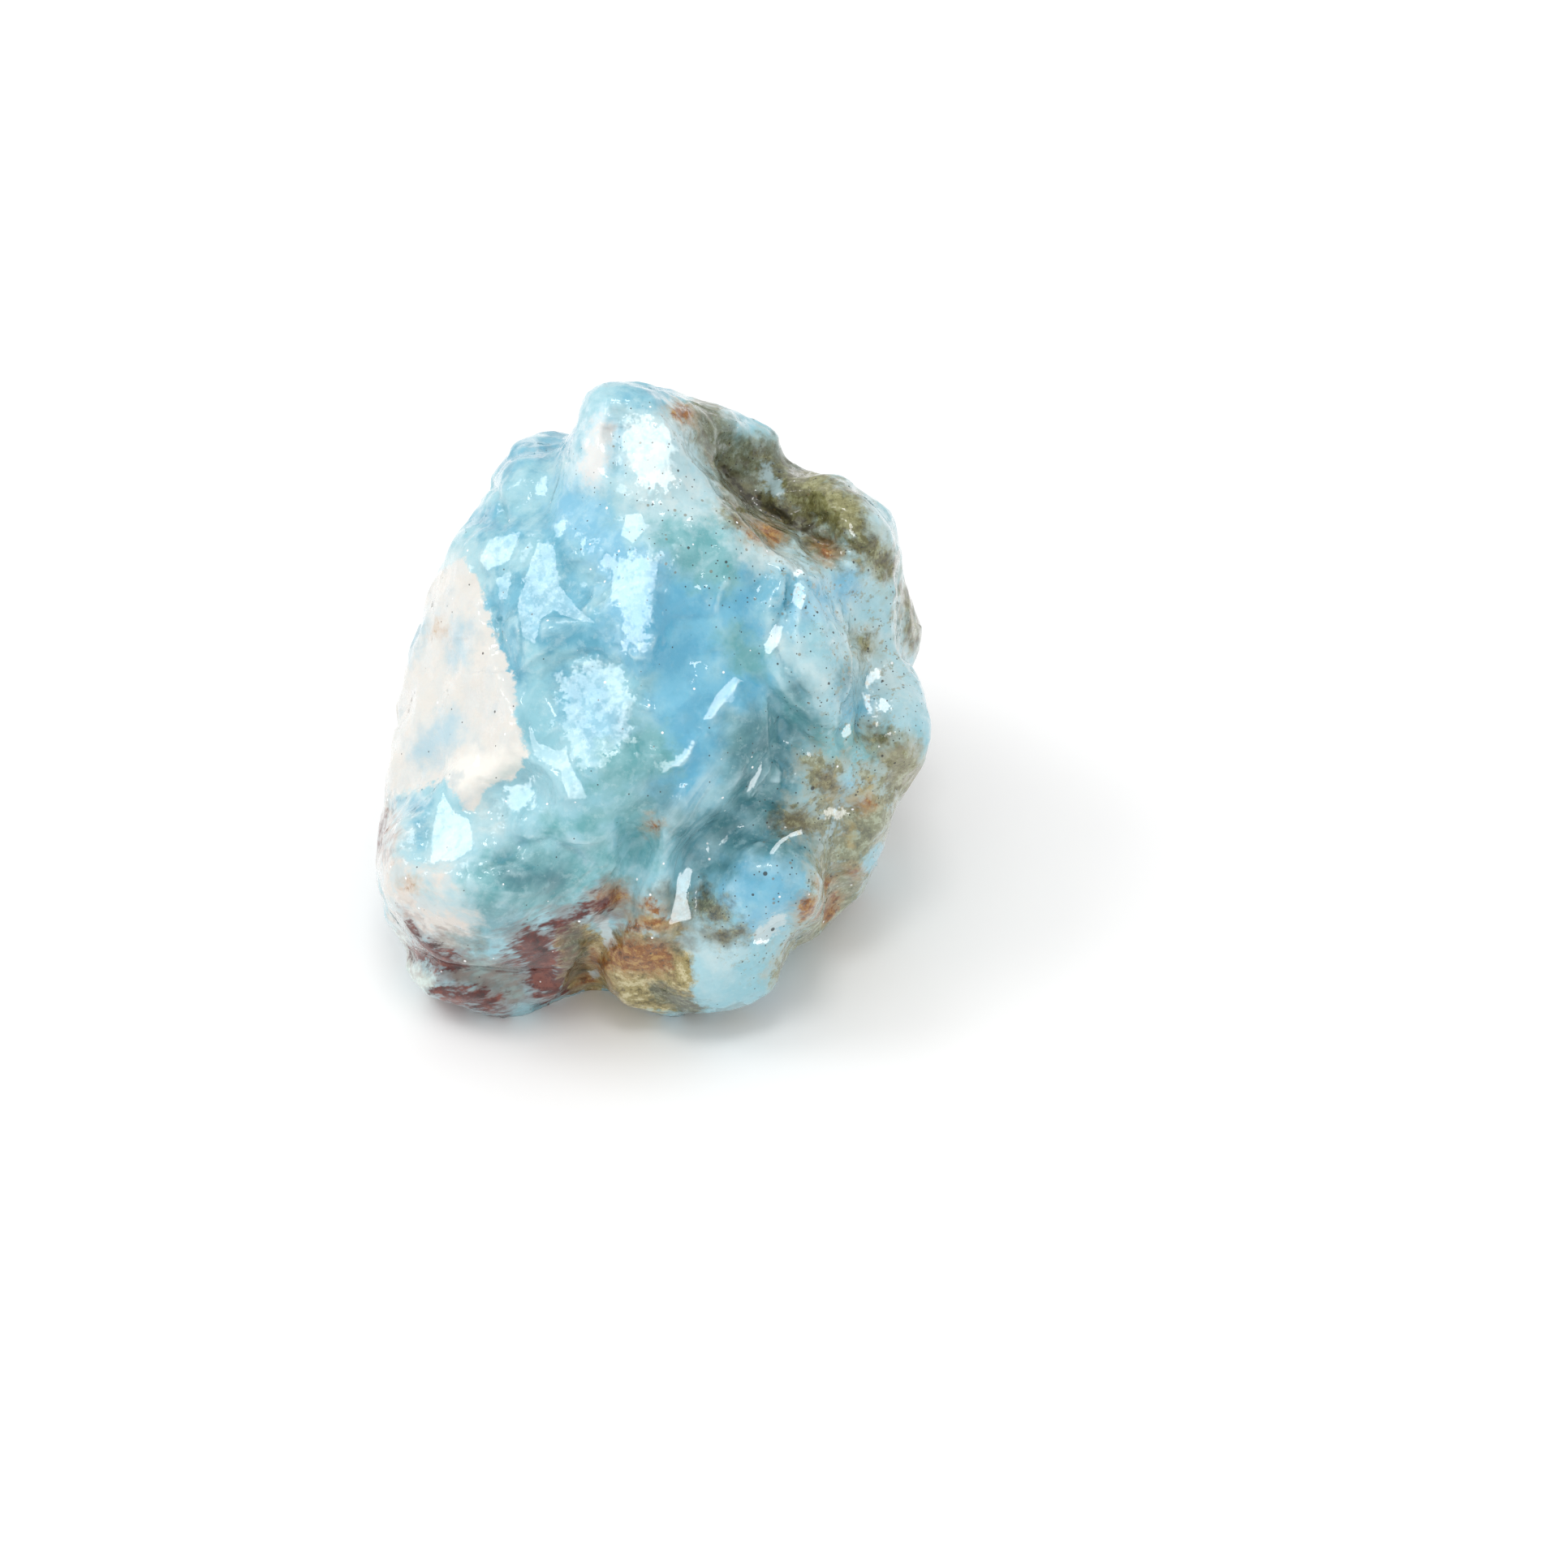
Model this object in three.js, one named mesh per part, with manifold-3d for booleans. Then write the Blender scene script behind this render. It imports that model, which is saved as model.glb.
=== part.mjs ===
// A natural lump of raw larimar: blue pectolite with some of its host rock still on it, at its real size in
// millimetres, +Z up. It grew and broke off as one piece, so it is one solid.
//
// The lump is shaped in its face frame: x across its showy face, y up the face and z out of it, with the
// middle of the lump at zero. It is then leaned onto the broken flat that it rests on. The finished part's
// origin is on the table, under the middle of the lump, and its showy face looks up and towards -Y.
import * as THREE from "three";
import { ImprovedNoise } from "three/addons/math/ImprovedNoise.js";
import { mergeVertices } from "three/addons/utils/BufferGeometryUtils.js";
import Module from "manifold-3d";

// ---------------------------------------------------------------- driving dimensions

const FACE_LEAN = 50; // degrees that the face leans forward from looking straight up
const REST_HEIGHT = 15.1; // the lump's middle above the table
const CROWN = 14.6; // the face's height over the widest section
const BACK = 17.8; // the back's depth behind the widest section
const SQUARENESS = 2.4; // 2 is an ellipsoid, and more is boxier
const RIM_LEAN = 0.1; // how much further out of the face the widest section lies, per mm up the face

// The edge of the widest section, round the face from the top of the head, clockwise.
const OUTLINE = [
  [-0.6, 19.8], [2.3, 19.5], [4.8, 18.4], [6.8, 17.0], [7.6, 15.6], [9.1, 14.7], [11.2, 13.8], [12.9, 12.8],
  [14.8, 10.7], [16.1, 8.3], [16.4, 5.2], [16.4, 2.8], [17.2, -1.2], [17.1, -3.9], [15.8, -7.0],
  [14.8, -9.8], [12.3, -13.4], [10.1, -15.2], [7.4, -16.8], [5.0, -19.2], [2.2, -20.2], [-2.5, -20.6],
  [-6.4, -20.2], [-9.3, -20.4], [-13.0, -19.6], [-15.7, -17.3], [-16.7, -14.6], [-17.6, -11.4],
  [-17.9, -9.1], [-17.5, -5.9], [-16.7, -1.9], [-15.8, 1.6], [-15.0, 6.0], [-13.4, 9.6], [-10.6, 13.0],
  [-8.6, 15.6], [-6.0, 17.7], [-3.7, 18.5],
];

// Rounded masses that grew out of the body: centre, half sizes, turn about z in degrees, and how softly
// each runs into the rest.
const MASSES = [
  { name: "head", at: [-0.9, 14.9, 7.2], half: [4.2, 5.2, 6.8], turn: 8, soft: 1.4 },
  { name: "left shoulder", at: [-6.5, 13.0, 1.0], half: [3.8, 4.8, 7.0], turn: 10, soft: 1.2 },
  { name: "knob behind the head", at: [5.2, 16.6, 1.5], half: [2.6, 2.0, 4.5], turn: -30, soft: 1.0 },
  { name: "right shoulder", at: [11.6, 10.6, 2.4], half: [3.6, 3.2, 6.0], turn: -35, soft: 1.2 },
  { name: "upper right knob", at: [15.4, 5.0, -3.0], half: [1.9, 3.2, 4.0], turn: 0, soft: 0.6 },
  { name: "lower right knob", at: [14.8, -1.4, 2.5], half: [2.6, 4.2, 5.6], turn: 10, soft: 1.0 },
  { name: "nose", at: [10.0, 3.4, 8.8], half: [2.6, 5.6, 4.2], turn: 10, soft: 0.8 },
  { name: "lower left bulge", at: [-10.0, -10.2, 5.6], half: [7.2, 6.6, 7.8], turn: 18, soft: 1.2 },
  { name: "left foot", at: [-10.8, -17.3, 0.8], half: [5.6, 2.7, 5], turn: -4, soft: 0.6 },
  { name: "right foot", at: [4.0, -15.8, 3.8], half: [4.8, 4.4, 4.8], turn: 20, soft: 0.8 },
  { name: "blue plateau", at: [7.0, -11.2, 6.0], half: [5.0, 4.0, 5.4], turn: 25, soft: 1.6 },
  { name: "back hump", at: [4, 4, -12], half: [9, 8, 6.5], turn: 30, soft: 2.0 },
  { name: "back left knuckle", at: [-9, 6, -9], half: [5.5, 5, 5.5], turn: 0, soft: 1.5 },
  { name: "peak of the ridge", at: [-0.6, 3.4, 12.2], half: [2.6, 3.0, 3.9], turn: 0, soft: 1.2 },
  { name: "middle knob", at: [-3.2, -4.0, 11.2], half: [3.0, 3.0, 4.2], turn: 30, soft: 1.2 },
  { name: "heel", at: [-5, -6, -13], half: [7, 5, 4.5], turn: -15, soft: 1.5 },
];

// Break faces: a point on each, its outward direction, and how softly its edges are worn.
const BREAKS = [
  { name: "pale left face", at: [-11.6, 1.0, 9.2], out: [-0.76, 0.1, 0.64], soft: 1.2 },
  { name: "left of the ridge", at: [-5.2, 4.0, 13.2], out: [-0.38, 0.28, 0.88], soft: 1.2 },
  { name: "right of the ridge", at: [3.2, 1.5, 13.8], out: [0.2, -0.1, 0.97], soft: 1.2 },
  { name: "grey lower right face", at: [8.0, -5.4, 11.0], out: [0.46, -0.4, 0.79], soft: 1.2 },
  { name: "right cheek", at: [14.2, 2.6, 6.8], out: [0.84, 0.06, 0.54], soft: 1.2 },
  { name: "brow", at: [6.0, 9.2, 12.8], out: [0.24, 0.36, 0.9], soft: 1.2 },
  { name: "under the left bulge", at: [-9.0, -16.0, 8.0], out: [-0.1, -0.8, 0.6], soft: 1.0 },
  { name: "back of the crown", at: [0, 15, -9.5], out: [0.1, 0.74, -0.67], soft: 1.5 },
  { name: "left flank", at: [-13.4, -2, -7], out: [-0.78, -0.1, -0.62], soft: 1.5 },
  { name: "right flank", at: [13.2, 2, -9], out: [0.74, 0.12, -0.66], soft: 1.5 },
  { name: "back wall", at: [0, 6, -17.0], out: [0.12, 0.34, -0.93], soft: 1.5 },
];

// Flat chips that catch the light: a point on each, its outward direction, half sizes across and up the
// face, turn about z in degrees, and how softly its edges are worn.
const CHIPS = [
  { name: "ridge's upper left side", at: [-1.2, 6.3, 15.0], out: [-0.36, 0.34, 0.87],
    half: [2.4, 3.2], turn: -6, soft: 0.5 },
  { name: "middle knob's upper left side", at: [-3.2, -0.6, 14.2], out: [-0.36, 0.34, 0.87],
    half: [2.6, 2.8], turn: 20, soft: 0.5 },
  { name: "head's left cheek", at: [0.0, 15.0, 12.9], out: [-0.36, 0.34, 0.87],
    half: [2.2, 3.2], turn: 4, soft: 0.6 },
  { name: "chip on the left bulge", at: [-12.9, -8.6, 10.8], out: [-0.36, 0.36, 0.86],
    half: [1.2, 2.2], turn: 4, soft: 0.4 },
];

// Scooped hollows: centre, half sizes, turn about z in degrees, and softness.
const SCOOPS = [
  { name: "arch between the feet", at: [-3.0, -21.3, 3], half: [4.4, 2.2, 10], turn: -8, soft: 0.8 },
  { name: "hollow behind the brow", at: [6.4, 13.4, 12.0], half: [5.6, 2.0, 5.8], turn: -44, soft: 0.6 },
  { name: "hollow by the right shoulder", at: [10.8, 9.6, 12.4], half: [4.2, 1.7, 4.2], turn: -34, soft: 0.8 },
  { name: "notch by the head", at: [-5.0, 19.4, 2], half: [1.2, 1.8, 9], turn: 10, soft: 0.8 },
  { name: "pool left of the ridge", at: [-6.2, 2.6, 17.4], half: [3.4, 5.6, 4.4], turn: -12, soft: 1.2 },
  { name: "blue dip", at: [3.6, 2.4, 18.6], half: [3.8, 6.2, 4.9], turn: 6, soft: 1.8 },
  { name: "dish in the left flank", at: [-15.5, 4, -9], half: [4.5, 6, 5], turn: 10, soft: 1.5 },
  { name: "dish in the back", at: [9, -3, -17], half: [5, 6.5, 4.5], turn: -20, soft: 1.5 },
];

// Ledges: along a path in x and y, on the face (1) or the back (-1), the surface falls by drop within edge
// of the path's right-hand side, then climbs back to where it was at reach from the path.
const LEDGES = [
  { name: "brow crest", side: 1, drop: 2.6, edge: 1.1, reach: 5.0,
    path: [[10.6, 7.8], [8.6, 10.0], [6.2, 11.6], [4.2, 13.8], [2.8, 17.2]] },
  { name: "shoulder step", side: 1, drop: 1.7, edge: 1.3, reach: 4.5,
    path: [[-3.6, 18.2], [-4.8, 15.6], [-5.3, 12.8], [-5.4, 9.6]] },
  { name: "shoulder rim", side: 1, drop: 0.6, edge: 0.9, reach: 2.8,
    path: [[-3.6, 17.0], [-7.4, 16.2], [-10.0, 13.6], [-12.4, 9.8]] },
  { name: "pale crust's edge", side: 1, drop: 0.8, edge: 0.7, reach: 3.2,
    path: [[-8.4, -4.6], [-8.0, -2.6], [-8.8, 0.4], [-10.2, 3.4], [-11.0, 6.4], [-12.0, 9.4]] },
  { name: "lip over the left bulge", side: 1, drop: 1.3, edge: 0.9, reach: 4.2,
    path: [[-14.8, -5.6], [-12.6, -6.8], [-10.4, -6.0], [-8.4, -3.8], [-6.4, -4.4], [-5.0, -6.6]] },
  { name: "nose's left side", side: 1, drop: 1.1, edge: 0.8, reach: 3.4,
    path: [[8.6, 8.4], [7.8, 6.0], [7.4, 3.0], [8.4, 0.4], [10.2, -1.6], [12.4, -3.6]] },
  { name: "nose's right side", side: 1, drop: 1.2, edge: 0.9, reach: 3.6,
    path: [[12.0, -3.4], [13.0, -0.4], [13.2, 2.6], [12.0, 4.8], [10.4, 8.0]] },
  { name: "gully's left wall", side: 1, drop: 1.6, edge: 1.1, reach: 4.6,
    path: [[0.2, -14.6], [0.6, -12.6], [1.4, -9.8], [3.6, -7.2], [5.8, -4.4], [7.6, -1.6], [9.6, 0.0]] },
  { name: "plateau's edge", side: 1, drop: 0.9, edge: 0.9, reach: 3.4,
    path: [[10.6, -15.4], [10.6, -12.8], [9.6, -10.4], [7.0, -8.8], [3.8, -9.6], [2.2, -12.0]] },
  { name: "cleft's left wall", side: 1, drop: 1.9, edge: 1.2, reach: 3.6,
    path: [[-6.4, -20.0], [-5.6, -17.4], [-4.6, -15.0], [-2.8, -12.6], [-2.2, -9.6], [-2.4, -6.8]] },
  { name: "fold over the left foot", side: 1, drop: 1.2, edge: 0.8, reach: 2.6,
    path: [[-17.2, -13.4], [-15.2, -15.6], [-12.2, -16.4], [-8.6, -16.9], [-5.6, -16.6]] },
  { name: "right rim's overhang", side: 1, drop: 1.4, edge: 0.9, reach: 3.4,
    path: [[16.6, 0.8], [15.2, 3.2], [15.4, 6.0], [14.8, 9.4]] },
  { name: "back seam", side: -1, drop: 2.0, edge: 1.4, reach: 7,
    path: [[-14, 10], [-8, 3], [-2, -1], [5, 3], [14, 6]] },
  { name: "back shelf", side: -1, drop: 1.8, edge: 1.4, reach: 6,
    path: [[13, -6], [5, -4], [-2, -9], [-11, -7]] },
];

// Ribs and creases: along a path, on the face or the back. height is out of the stone for a rib and below
// 0 for a crease, and width is from its middle to its edge.
const STROKES = [
  { name: "middle ridge", side: 1, height: 1.0, width: 2.4,
    path: [[-0.3, 10.8], [-0.9, 7.4], [-1.3, 4.2], [-2.6, 0.6], [-4.2, -2.6]] },
  { name: "star ridge", side: 1, height: 0.9, width: 1.3,
    path: [[-8.4, -1.6], [-7.0, -3.8], [-5.6, -5.6], [-4.0, -7.0]] },
  { name: "cross rib", side: 1, height: 0.6, width: 1.2,
    path: [[-8.4, 3.2], [-6.2, 4.0], [-3.8, 4.8], [-2.0, 4.4]] },
  { name: "rib below the head", side: 1, height: 0.4, width: 1.4,
    path: [[-6.6, 9.6], [-4.4, 8.6], [-1.6, 9.2], [1.4, 9.0], [4.2, 9.6]] },
  { name: "plateau rib", side: 1, height: 0.7, width: 1.5,
    path: [[9.4, -7.4], [9.9, -10.4], [10.4, -13.2], [8.6, -16.2]] },
  { name: "bulge crease", side: 1, height: -0.8, width: 1.4,
    path: [[-12.6, -11.6], [-10.4, -9.8], [-7.6, -9.6], [-4.6, -10.8]] },
  { name: "bulge fold", side: 1, height: -0.6, width: 1.2,
    path: [[-9.0, -7.2], [-8.4, -9.8], [-7.0, -12.2]] },
  { name: "fibre rib", side: 1, height: 0.6, width: 1.1,
    path: [[4.6, -3.6], [2.2, -6.6], [0.4, -10.2], [-1.0, -13.2]] },
  { name: "rim crease", side: 1, height: -0.9, width: 1.2,
    path: [[12.0, -5.0], [12.6, -8.0], [11.6, -11.0]] },
  { name: "shoulder crease", side: 1, height: -0.5, width: 1.5,
    path: [[-12.2, 11.0], [-9.6, 11.6], [-8.0, 10.0]] },
  { name: "back rib", side: -1, height: 1.4, width: 2.6,
    path: [[-12, -2], [-6, 6], [1, 11], [6, 15]] },
  { name: "back crease", side: -1, height: -1.2, width: 2.0,
    path: [[4, 14], [8, 7], [10, 0]] },
];

// Worn lumpiness all over: how far it stands out, and how far apart its lumps are.
const LUMPINESS = [
  { height: 0.6, spacing: 6.5 },
  { height: 0.42, spacing: 3.2 },
];

// ---------------------------------------------------------------- the lump as a distance, below 0 inside it

const RIM_STEPS = 720;
const rimTable = radiusByAngle(
  new THREE.CatmullRomCurve3(
    OUTLINE.map(([x, y]) => new THREE.Vector3(x, y, 0)), true, "centripetal",
  ).getPoints(RIM_STEPS * 4));

// The outline's distance from the middle, for each of RIM_STEPS directions.
function radiusByAngle(points) {
  const table = new Array(RIM_STEPS).fill(0);
  for (const { x, y } of points) {
    const step = Math.floor((Math.atan2(y, x) / (2 * Math.PI) + 1) * RIM_STEPS) % RIM_STEPS;
    table[step] = Math.max(table[step], Math.hypot(x, y));
  }
  return table.map((radius, step) => radius || table[(step + RIM_STEPS - 1) % RIM_STEPS]);
}

function rimRadius(x, y) {
  const turn = (Math.atan2(y, x) / (2 * Math.PI) + 1) * RIM_STEPS;
  const before = Math.floor(turn);
  const share = turn - before;
  return rimTable[before % RIM_STEPS] * (1 - share) + rimTable[(before + 1) % RIM_STEPS] * share;
}

function body(p) {
  const fromRim = p.z - RIM_LEAN * p.y;
  const across = Math.hypot(p.x, p.y) / rimRadius(p.x, p.y);
  const deep = Math.abs(fromRim) / (fromRim > 0 ? CROWN : BACK);
  const reach = (across ** SQUARENESS + deep ** SQUARENESS) ** (1 / SQUARENESS);
  return p.length() * (1 - 1 / Math.max(reach, 0.05));
}

// x and y from a place, along its own turned axes.
function turnedOffset(p, { at, turn }) {
  const angle = THREE.MathUtils.degToRad(turn);
  const [dx, dy] = [p.x - at[0], p.y - at[1]];
  return [dx * Math.cos(angle) + dy * Math.sin(angle), dy * Math.cos(angle) - dx * Math.sin(angle)];
}

function ellipsoid(p, mass) {
  const { at, half } = mass;
  const [x, y] = turnedOffset(p, mass);
  const z = p.z - at[2];
  const once = Math.hypot(x / half[0], y / half[1], z / half[2]);
  const twice = Math.hypot(x / half[0] ** 2, y / half[1] ** 2, z / half[2] ** 2);
  return (once * (once - 1)) / Math.max(twice, 1e-6);
}

function plane(p, { at, out }) {
  const along = (p.x - at[0]) * out[0] + (p.y - at[1]) * out[1] + (p.z - at[2]) * out[2];
  return along / Math.hypot(...out);
}

const CHIP_WALL = 0.8; // how steeply the stone may stand up round a flat chip

function chip(p, face) {
  const [x, y] = turnedOffset(p, face);
  const reach = Math.hypot(x / face.half[0], y / face.half[1]);
  return plane(p, face) - CHIP_WALL * Math.max(reach - 1, 0) * Math.min(...face.half);
}

// The lesser of two distances, blended where they are within soft of each other.
function join(a, b, soft) {
  const near = Math.max(soft - Math.abs(a - b), 0) / soft;
  return Math.min(a, b) - (near * near * soft) / 4;
}

function cut(a, b, soft) {
  return -join(-a, -b, soft);
}

const END_FADE = 2.5; // paths fade in and out over this length
const SIDE_FADE = 4; // and over this depth past the widest section

// How far x, y is from a path, above 0 on its right-hand side, and how strong the path is there.
function nearPath(p, { side, path }) {
  let off = Infinity;
  let strength = 0;
  let done = 0;
  const length = path.slice(1).reduce((sum, [x, y], i) => sum + Math.hypot(x - path[i][0], y - path[i][1]), 0);
  for (let i = 1; i < path.length; i++) {
    const [ax, ay] = path[i - 1];
    const [dx, dy] = [path[i][0] - ax, path[i][1] - ay];
    const [px, py] = [p.x - ax, p.y - ay];
    const span = Math.hypot(dx, dy);
    const share = THREE.MathUtils.clamp((px * dx + py * dy) / (span * span), 0, 1);
    const distance = Math.hypot(px - share * dx, py - share * dy);
    if (distance < Math.abs(off)) {
      const at = done + share * span;
      off = distance * Math.sign(dy * px - dx * py || 1);
      strength = THREE.MathUtils.smoothstep(Math.min(at, length - at), 0, END_FADE);
    }
    done += span;
  }
  return { off, strength: strength * THREE.MathUtils.clamp((side * p.z + 1) / SIDE_FADE, 0, 1) };
}

function ledge(p, line) {
  const { off, strength } = nearPath(p, line);
  if (off <= 0 || off >= line.reach) return 0;
  const fallen = THREE.MathUtils.smoothstep(off, 0, line.edge);
  const climbed = THREE.MathUtils.smoothstep(off, line.edge, line.reach);
  return -line.drop * strength * fallen * (1 - climbed);
}

function stroke(p, line) {
  const { off, strength } = nearPath(p, line);
  const share = Math.min(Math.abs(off) / line.width, 1);
  return line.height * strength * (1 - share * share) ** 2;
}

const grain = new ImprovedNoise();

function lumps(p) {
  return LUMPINESS.reduce(
    (sum, { height, spacing }, i) =>
      sum + height * grain.noise(p.x / spacing + 7.3 * i, p.y / spacing + 3.1, p.z / spacing), 0);
}

function stone(p) {
  let distance = body(p);
  for (const face of BREAKS) distance = cut(distance, plane(p, face), face.soft);
  for (const mass of MASSES) distance = join(distance, ellipsoid(p, mass), mass.soft);
  for (const scoop of SCOOPS) distance = cut(distance, -ellipsoid(p, scoop), scoop.soft);
  for (const line of LEDGES) distance -= ledge(p, line);
  for (const line of STROKES) distance -= stroke(p, line);
  for (const face of CHIPS) distance = cut(distance, chip(p, face), face.soft);
  return distance - lumps(p);
}

// ---------------------------------------------------------------- the lump as a mesh

const BALL_DETAIL = 22; // 20 x (detail + 1) squared triangles
const BALL_RADIUS = 32;
const BALL_FORWARD = 2.5; // the ball is nearer the face, so that the face gets the smaller triangles
const TRACE_STEPS = 90; // steps from the ball in to the stone
const RELAX_PASSES = 10; // rounds of evening out the triangles
const FLIP_PASSES = 4; // rounds of turning edges to follow the ribs and creases
const SLOPE_STEP = 0.02; // mm between the samples that give the surface's direction

function settle(point) {
  const here = stone(point);
  const slope = new THREE.Vector3(
    stone(point.clone().setX(point.x + SLOPE_STEP)) - here,
    stone(point.clone().setY(point.y + SLOPE_STEP)) - here,
    stone(point.clone().setZ(point.z + SLOPE_STEP)) - here,
  ).divideScalar(SLOPE_STEP);
  point.addScaledVector(slope, -here / Math.max(slope.lengthSq(), 0.25));
}

// Slides the points along the stone to even out the triangles.
function relax(points, triangles) {
  const around = points.map(() => new Set());
  for (const [a, b, c] of triangles) {
    around[a].add(b).add(c);
    around[b].add(c).add(a);
    around[c].add(a).add(b);
  }
  const middles = around.map((others) => {
    const middle = new THREE.Vector3();
    for (const other of others) middle.add(points[other]);
    return middle.divideScalar(others.size);
  });
  points.forEach((point, i) => {
    point.lerp(middles[i], 0.5);
    settle(point);
  });
}

function normalOf(a, b, c) {
  return new THREE.Triangle(a, b, c).getNormal(new THREE.Vector3());
}

function missBy(a, b) {
  return Math.abs(stone(a.clone().lerp(b, 0.5)));
}

// Turns an edge to join the other two corners of its two triangles, where that lies closer to the stone.
function flipEdges(points, triangles) {
  const beside = new Map();
  triangles.forEach((corners, t) => corners.forEach((a, i) => {
    beside.set(`${a},${corners[(i + 1) % 3]}`, { t, across: corners[(i + 2) % 3] });
  }));
  const moved = new Set();
  for (const [edge, { t, across: c }] of [...beside]) {
    const [a, b] = edge.split(",").map(Number);
    const { t: other, across: d } = beside.get(`${b},${a}`);
    const taken = beside.has(`${c},${d}`) || beside.has(`${d},${c}`);
    if (a > b || taken || moved.has(t) || moved.has(other)) continue;
    const [pa, pb, pc, pd] = [a, b, c, d].map((i) => points[i]);
    const was = normalOf(pa, pb, pc).add(normalOf(pb, pa, pd)).normalize();
    const upright = Math.min(normalOf(pa, pd, pc).dot(was), normalOf(pd, pb, pc).dot(was));
    const stretched = pc.distanceTo(pd) > 1.9 * pa.distanceTo(pb);
    if (upright < 0.6 || stretched || missBy(pc, pd) > missBy(pa, pb) - 0.01) continue;
    triangles[t] = [a, d, c];
    triangles[other] = [d, b, c];
    moved.add(t).add(other);
    beside.set(`${c},${d}`, null);
  }
}

// Shrinks a ball of even triangles on to the stone.
function wrap() {
  const ball = new THREE.IcosahedronGeometry(BALL_RADIUS, BALL_DETAIL);
  ball.deleteAttribute("normal");
  ball.deleteAttribute("uv");
  const skin = mergeVertices(ball, 1e-3);
  const points = [];
  for (let i = 0; i < skin.attributes.position.count; i++) {
    const outwards = new THREE.Vector3().fromBufferAttribute(skin.attributes.position, i);
    const point = outwards.clone().setZ(outwards.z + BALL_FORWARD);
    outwards.normalize();
    for (let step = 0; step < TRACE_STEPS; step++) point.addScaledVector(outwards, -0.6 * stone(point));
    points.push(point);
  }
  const triangles = [];
  for (let i = 0; i < skin.index.count; i += 3) {
    triangles.push([0, 1, 2].map((corner) => skin.index.getX(i + corner)));
  }
  for (let pass = 0; pass < RELAX_PASSES; pass++) relax(points, triangles);
  points.forEach(settle);
  for (let pass = 0; pass < FLIP_PASSES; pass++) flipEdges(points, triangles);
  return new THREE.BufferGeometry().setFromPoints(points).setIndex(triangles.flat());
}

// ---------------------------------------------------------------- leaned to rest, and flat underneath

const wasm = await Module();
wasm.setup();

function toSolid(geometry) {
  return new wasm.Manifold(new wasm.Mesh({
    numProp: 3,
    vertProperties: Float32Array.from(geometry.attributes.position.array),
    triVerts: Uint32Array.from(geometry.index.array),
  }));
}

function toGeometry(solid) {
  const mesh = solid.getMesh();
  return new THREE.BufferGeometry()
    .setAttribute("position", new THREE.BufferAttribute(mesh.vertProperties, 3))
    .setIndex(new THREE.BufferAttribute(mesh.triVerts, 1));
}

const lump = wrap();
lump.rotateX(THREE.MathUtils.degToRad(FACE_LEAN));
lump.translate(0, 0, REST_HEIGHT);

const tabletop = new THREE.BoxGeometry(4 * BALL_RADIUS, 4 * BALL_RADIUS, BALL_RADIUS);
tabletop.translate(0, 0, -BALL_RADIUS / 2);
tabletop.deleteAttribute("normal");
tabletop.deleteAttribute("uv");

const rested = toGeometry(toSolid(lump).subtract(toSolid(mergeVertices(tabletop))));
rested.computeVertexNormals();

const larimar = new THREE.Mesh(
  rested,
  new THREE.MeshStandardMaterial({ color: 0x8fc3d6, roughness: 0.12, metalness: 0 }),
);
larimar.name = "larimar";

const part = new THREE.Group();
part.add(larimar);
export default part;
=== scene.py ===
import math

import bpy
import numpy as np
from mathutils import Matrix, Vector, noise


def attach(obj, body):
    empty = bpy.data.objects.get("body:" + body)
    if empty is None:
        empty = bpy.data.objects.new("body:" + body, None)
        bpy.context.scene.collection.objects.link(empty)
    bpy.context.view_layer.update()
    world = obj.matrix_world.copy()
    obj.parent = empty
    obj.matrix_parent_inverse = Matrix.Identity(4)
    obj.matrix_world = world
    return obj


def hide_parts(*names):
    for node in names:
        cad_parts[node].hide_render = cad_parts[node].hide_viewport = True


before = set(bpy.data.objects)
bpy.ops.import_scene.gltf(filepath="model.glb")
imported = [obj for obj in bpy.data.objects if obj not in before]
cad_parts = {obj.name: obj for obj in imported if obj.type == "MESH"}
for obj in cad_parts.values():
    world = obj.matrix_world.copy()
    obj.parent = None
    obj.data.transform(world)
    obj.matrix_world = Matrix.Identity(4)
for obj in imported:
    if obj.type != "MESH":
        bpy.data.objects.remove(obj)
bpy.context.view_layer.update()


# ---------------------------------------------------------------- the lump
# A lump of larimar as it came out of its vein: broken off, a little worn, never sawn or polished. It is one
# piece of rock, so it is one skin here, grown from the CAD lump and fine enough to carry the natural breaks.

SKIN_GRAIN = 0.00017
SMOOTHING_ROUNDS = 10
TOUCHES_TABLE = 0.00012
FACE_LEAN = math.radians(50)
MIDDLE = np.array([0.0, 0.0, 0.0151])
MILLIMETRES = 1000

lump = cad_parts["larimar"]
stone = bpy.data.objects.new("larimar_stone", lump.data.copy())
bpy.context.collection.objects.link(stone)
stone.matrix_world = lump.matrix_world.copy()
stone.hide_render = False
skinning = stone.modifiers.new("skin", "REMESH")
skinning.mode = "VOXEL"
skinning.voxel_size = SKIN_GRAIN
skinning.adaptivity = 0.0
skin_mesh = bpy.data.meshes.new_from_object(stone.evaluated_get(bpy.context.evaluated_depsgraph_get()))
stone.modifiers.clear()
stone.data = skin_mesh
skin_mesh.materials.clear()

# The stone is shaped in millimetres across, up and out of its showy face, which leans back from the table.
lean_c, lean_s = math.cos(FACE_LEAN), math.sin(FACE_LEAN)
FACE_AXES = np.array([[1, 0, 0], [0, lean_c, lean_s], [0, -lean_s, lean_c]])


def to_face(points):
    return (points - MIDDLE) @ FACE_AXES.T * MILLIMETRES


def from_face(points):
    return points @ FACE_AXES / MILLIMETRES + MIDDLE


def points_of(mesh):
    flat = np.empty(len(mesh.vertices) * 3)
    mesh.vertices.foreach_get("co", flat)
    return flat.reshape(-1, 3)


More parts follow.
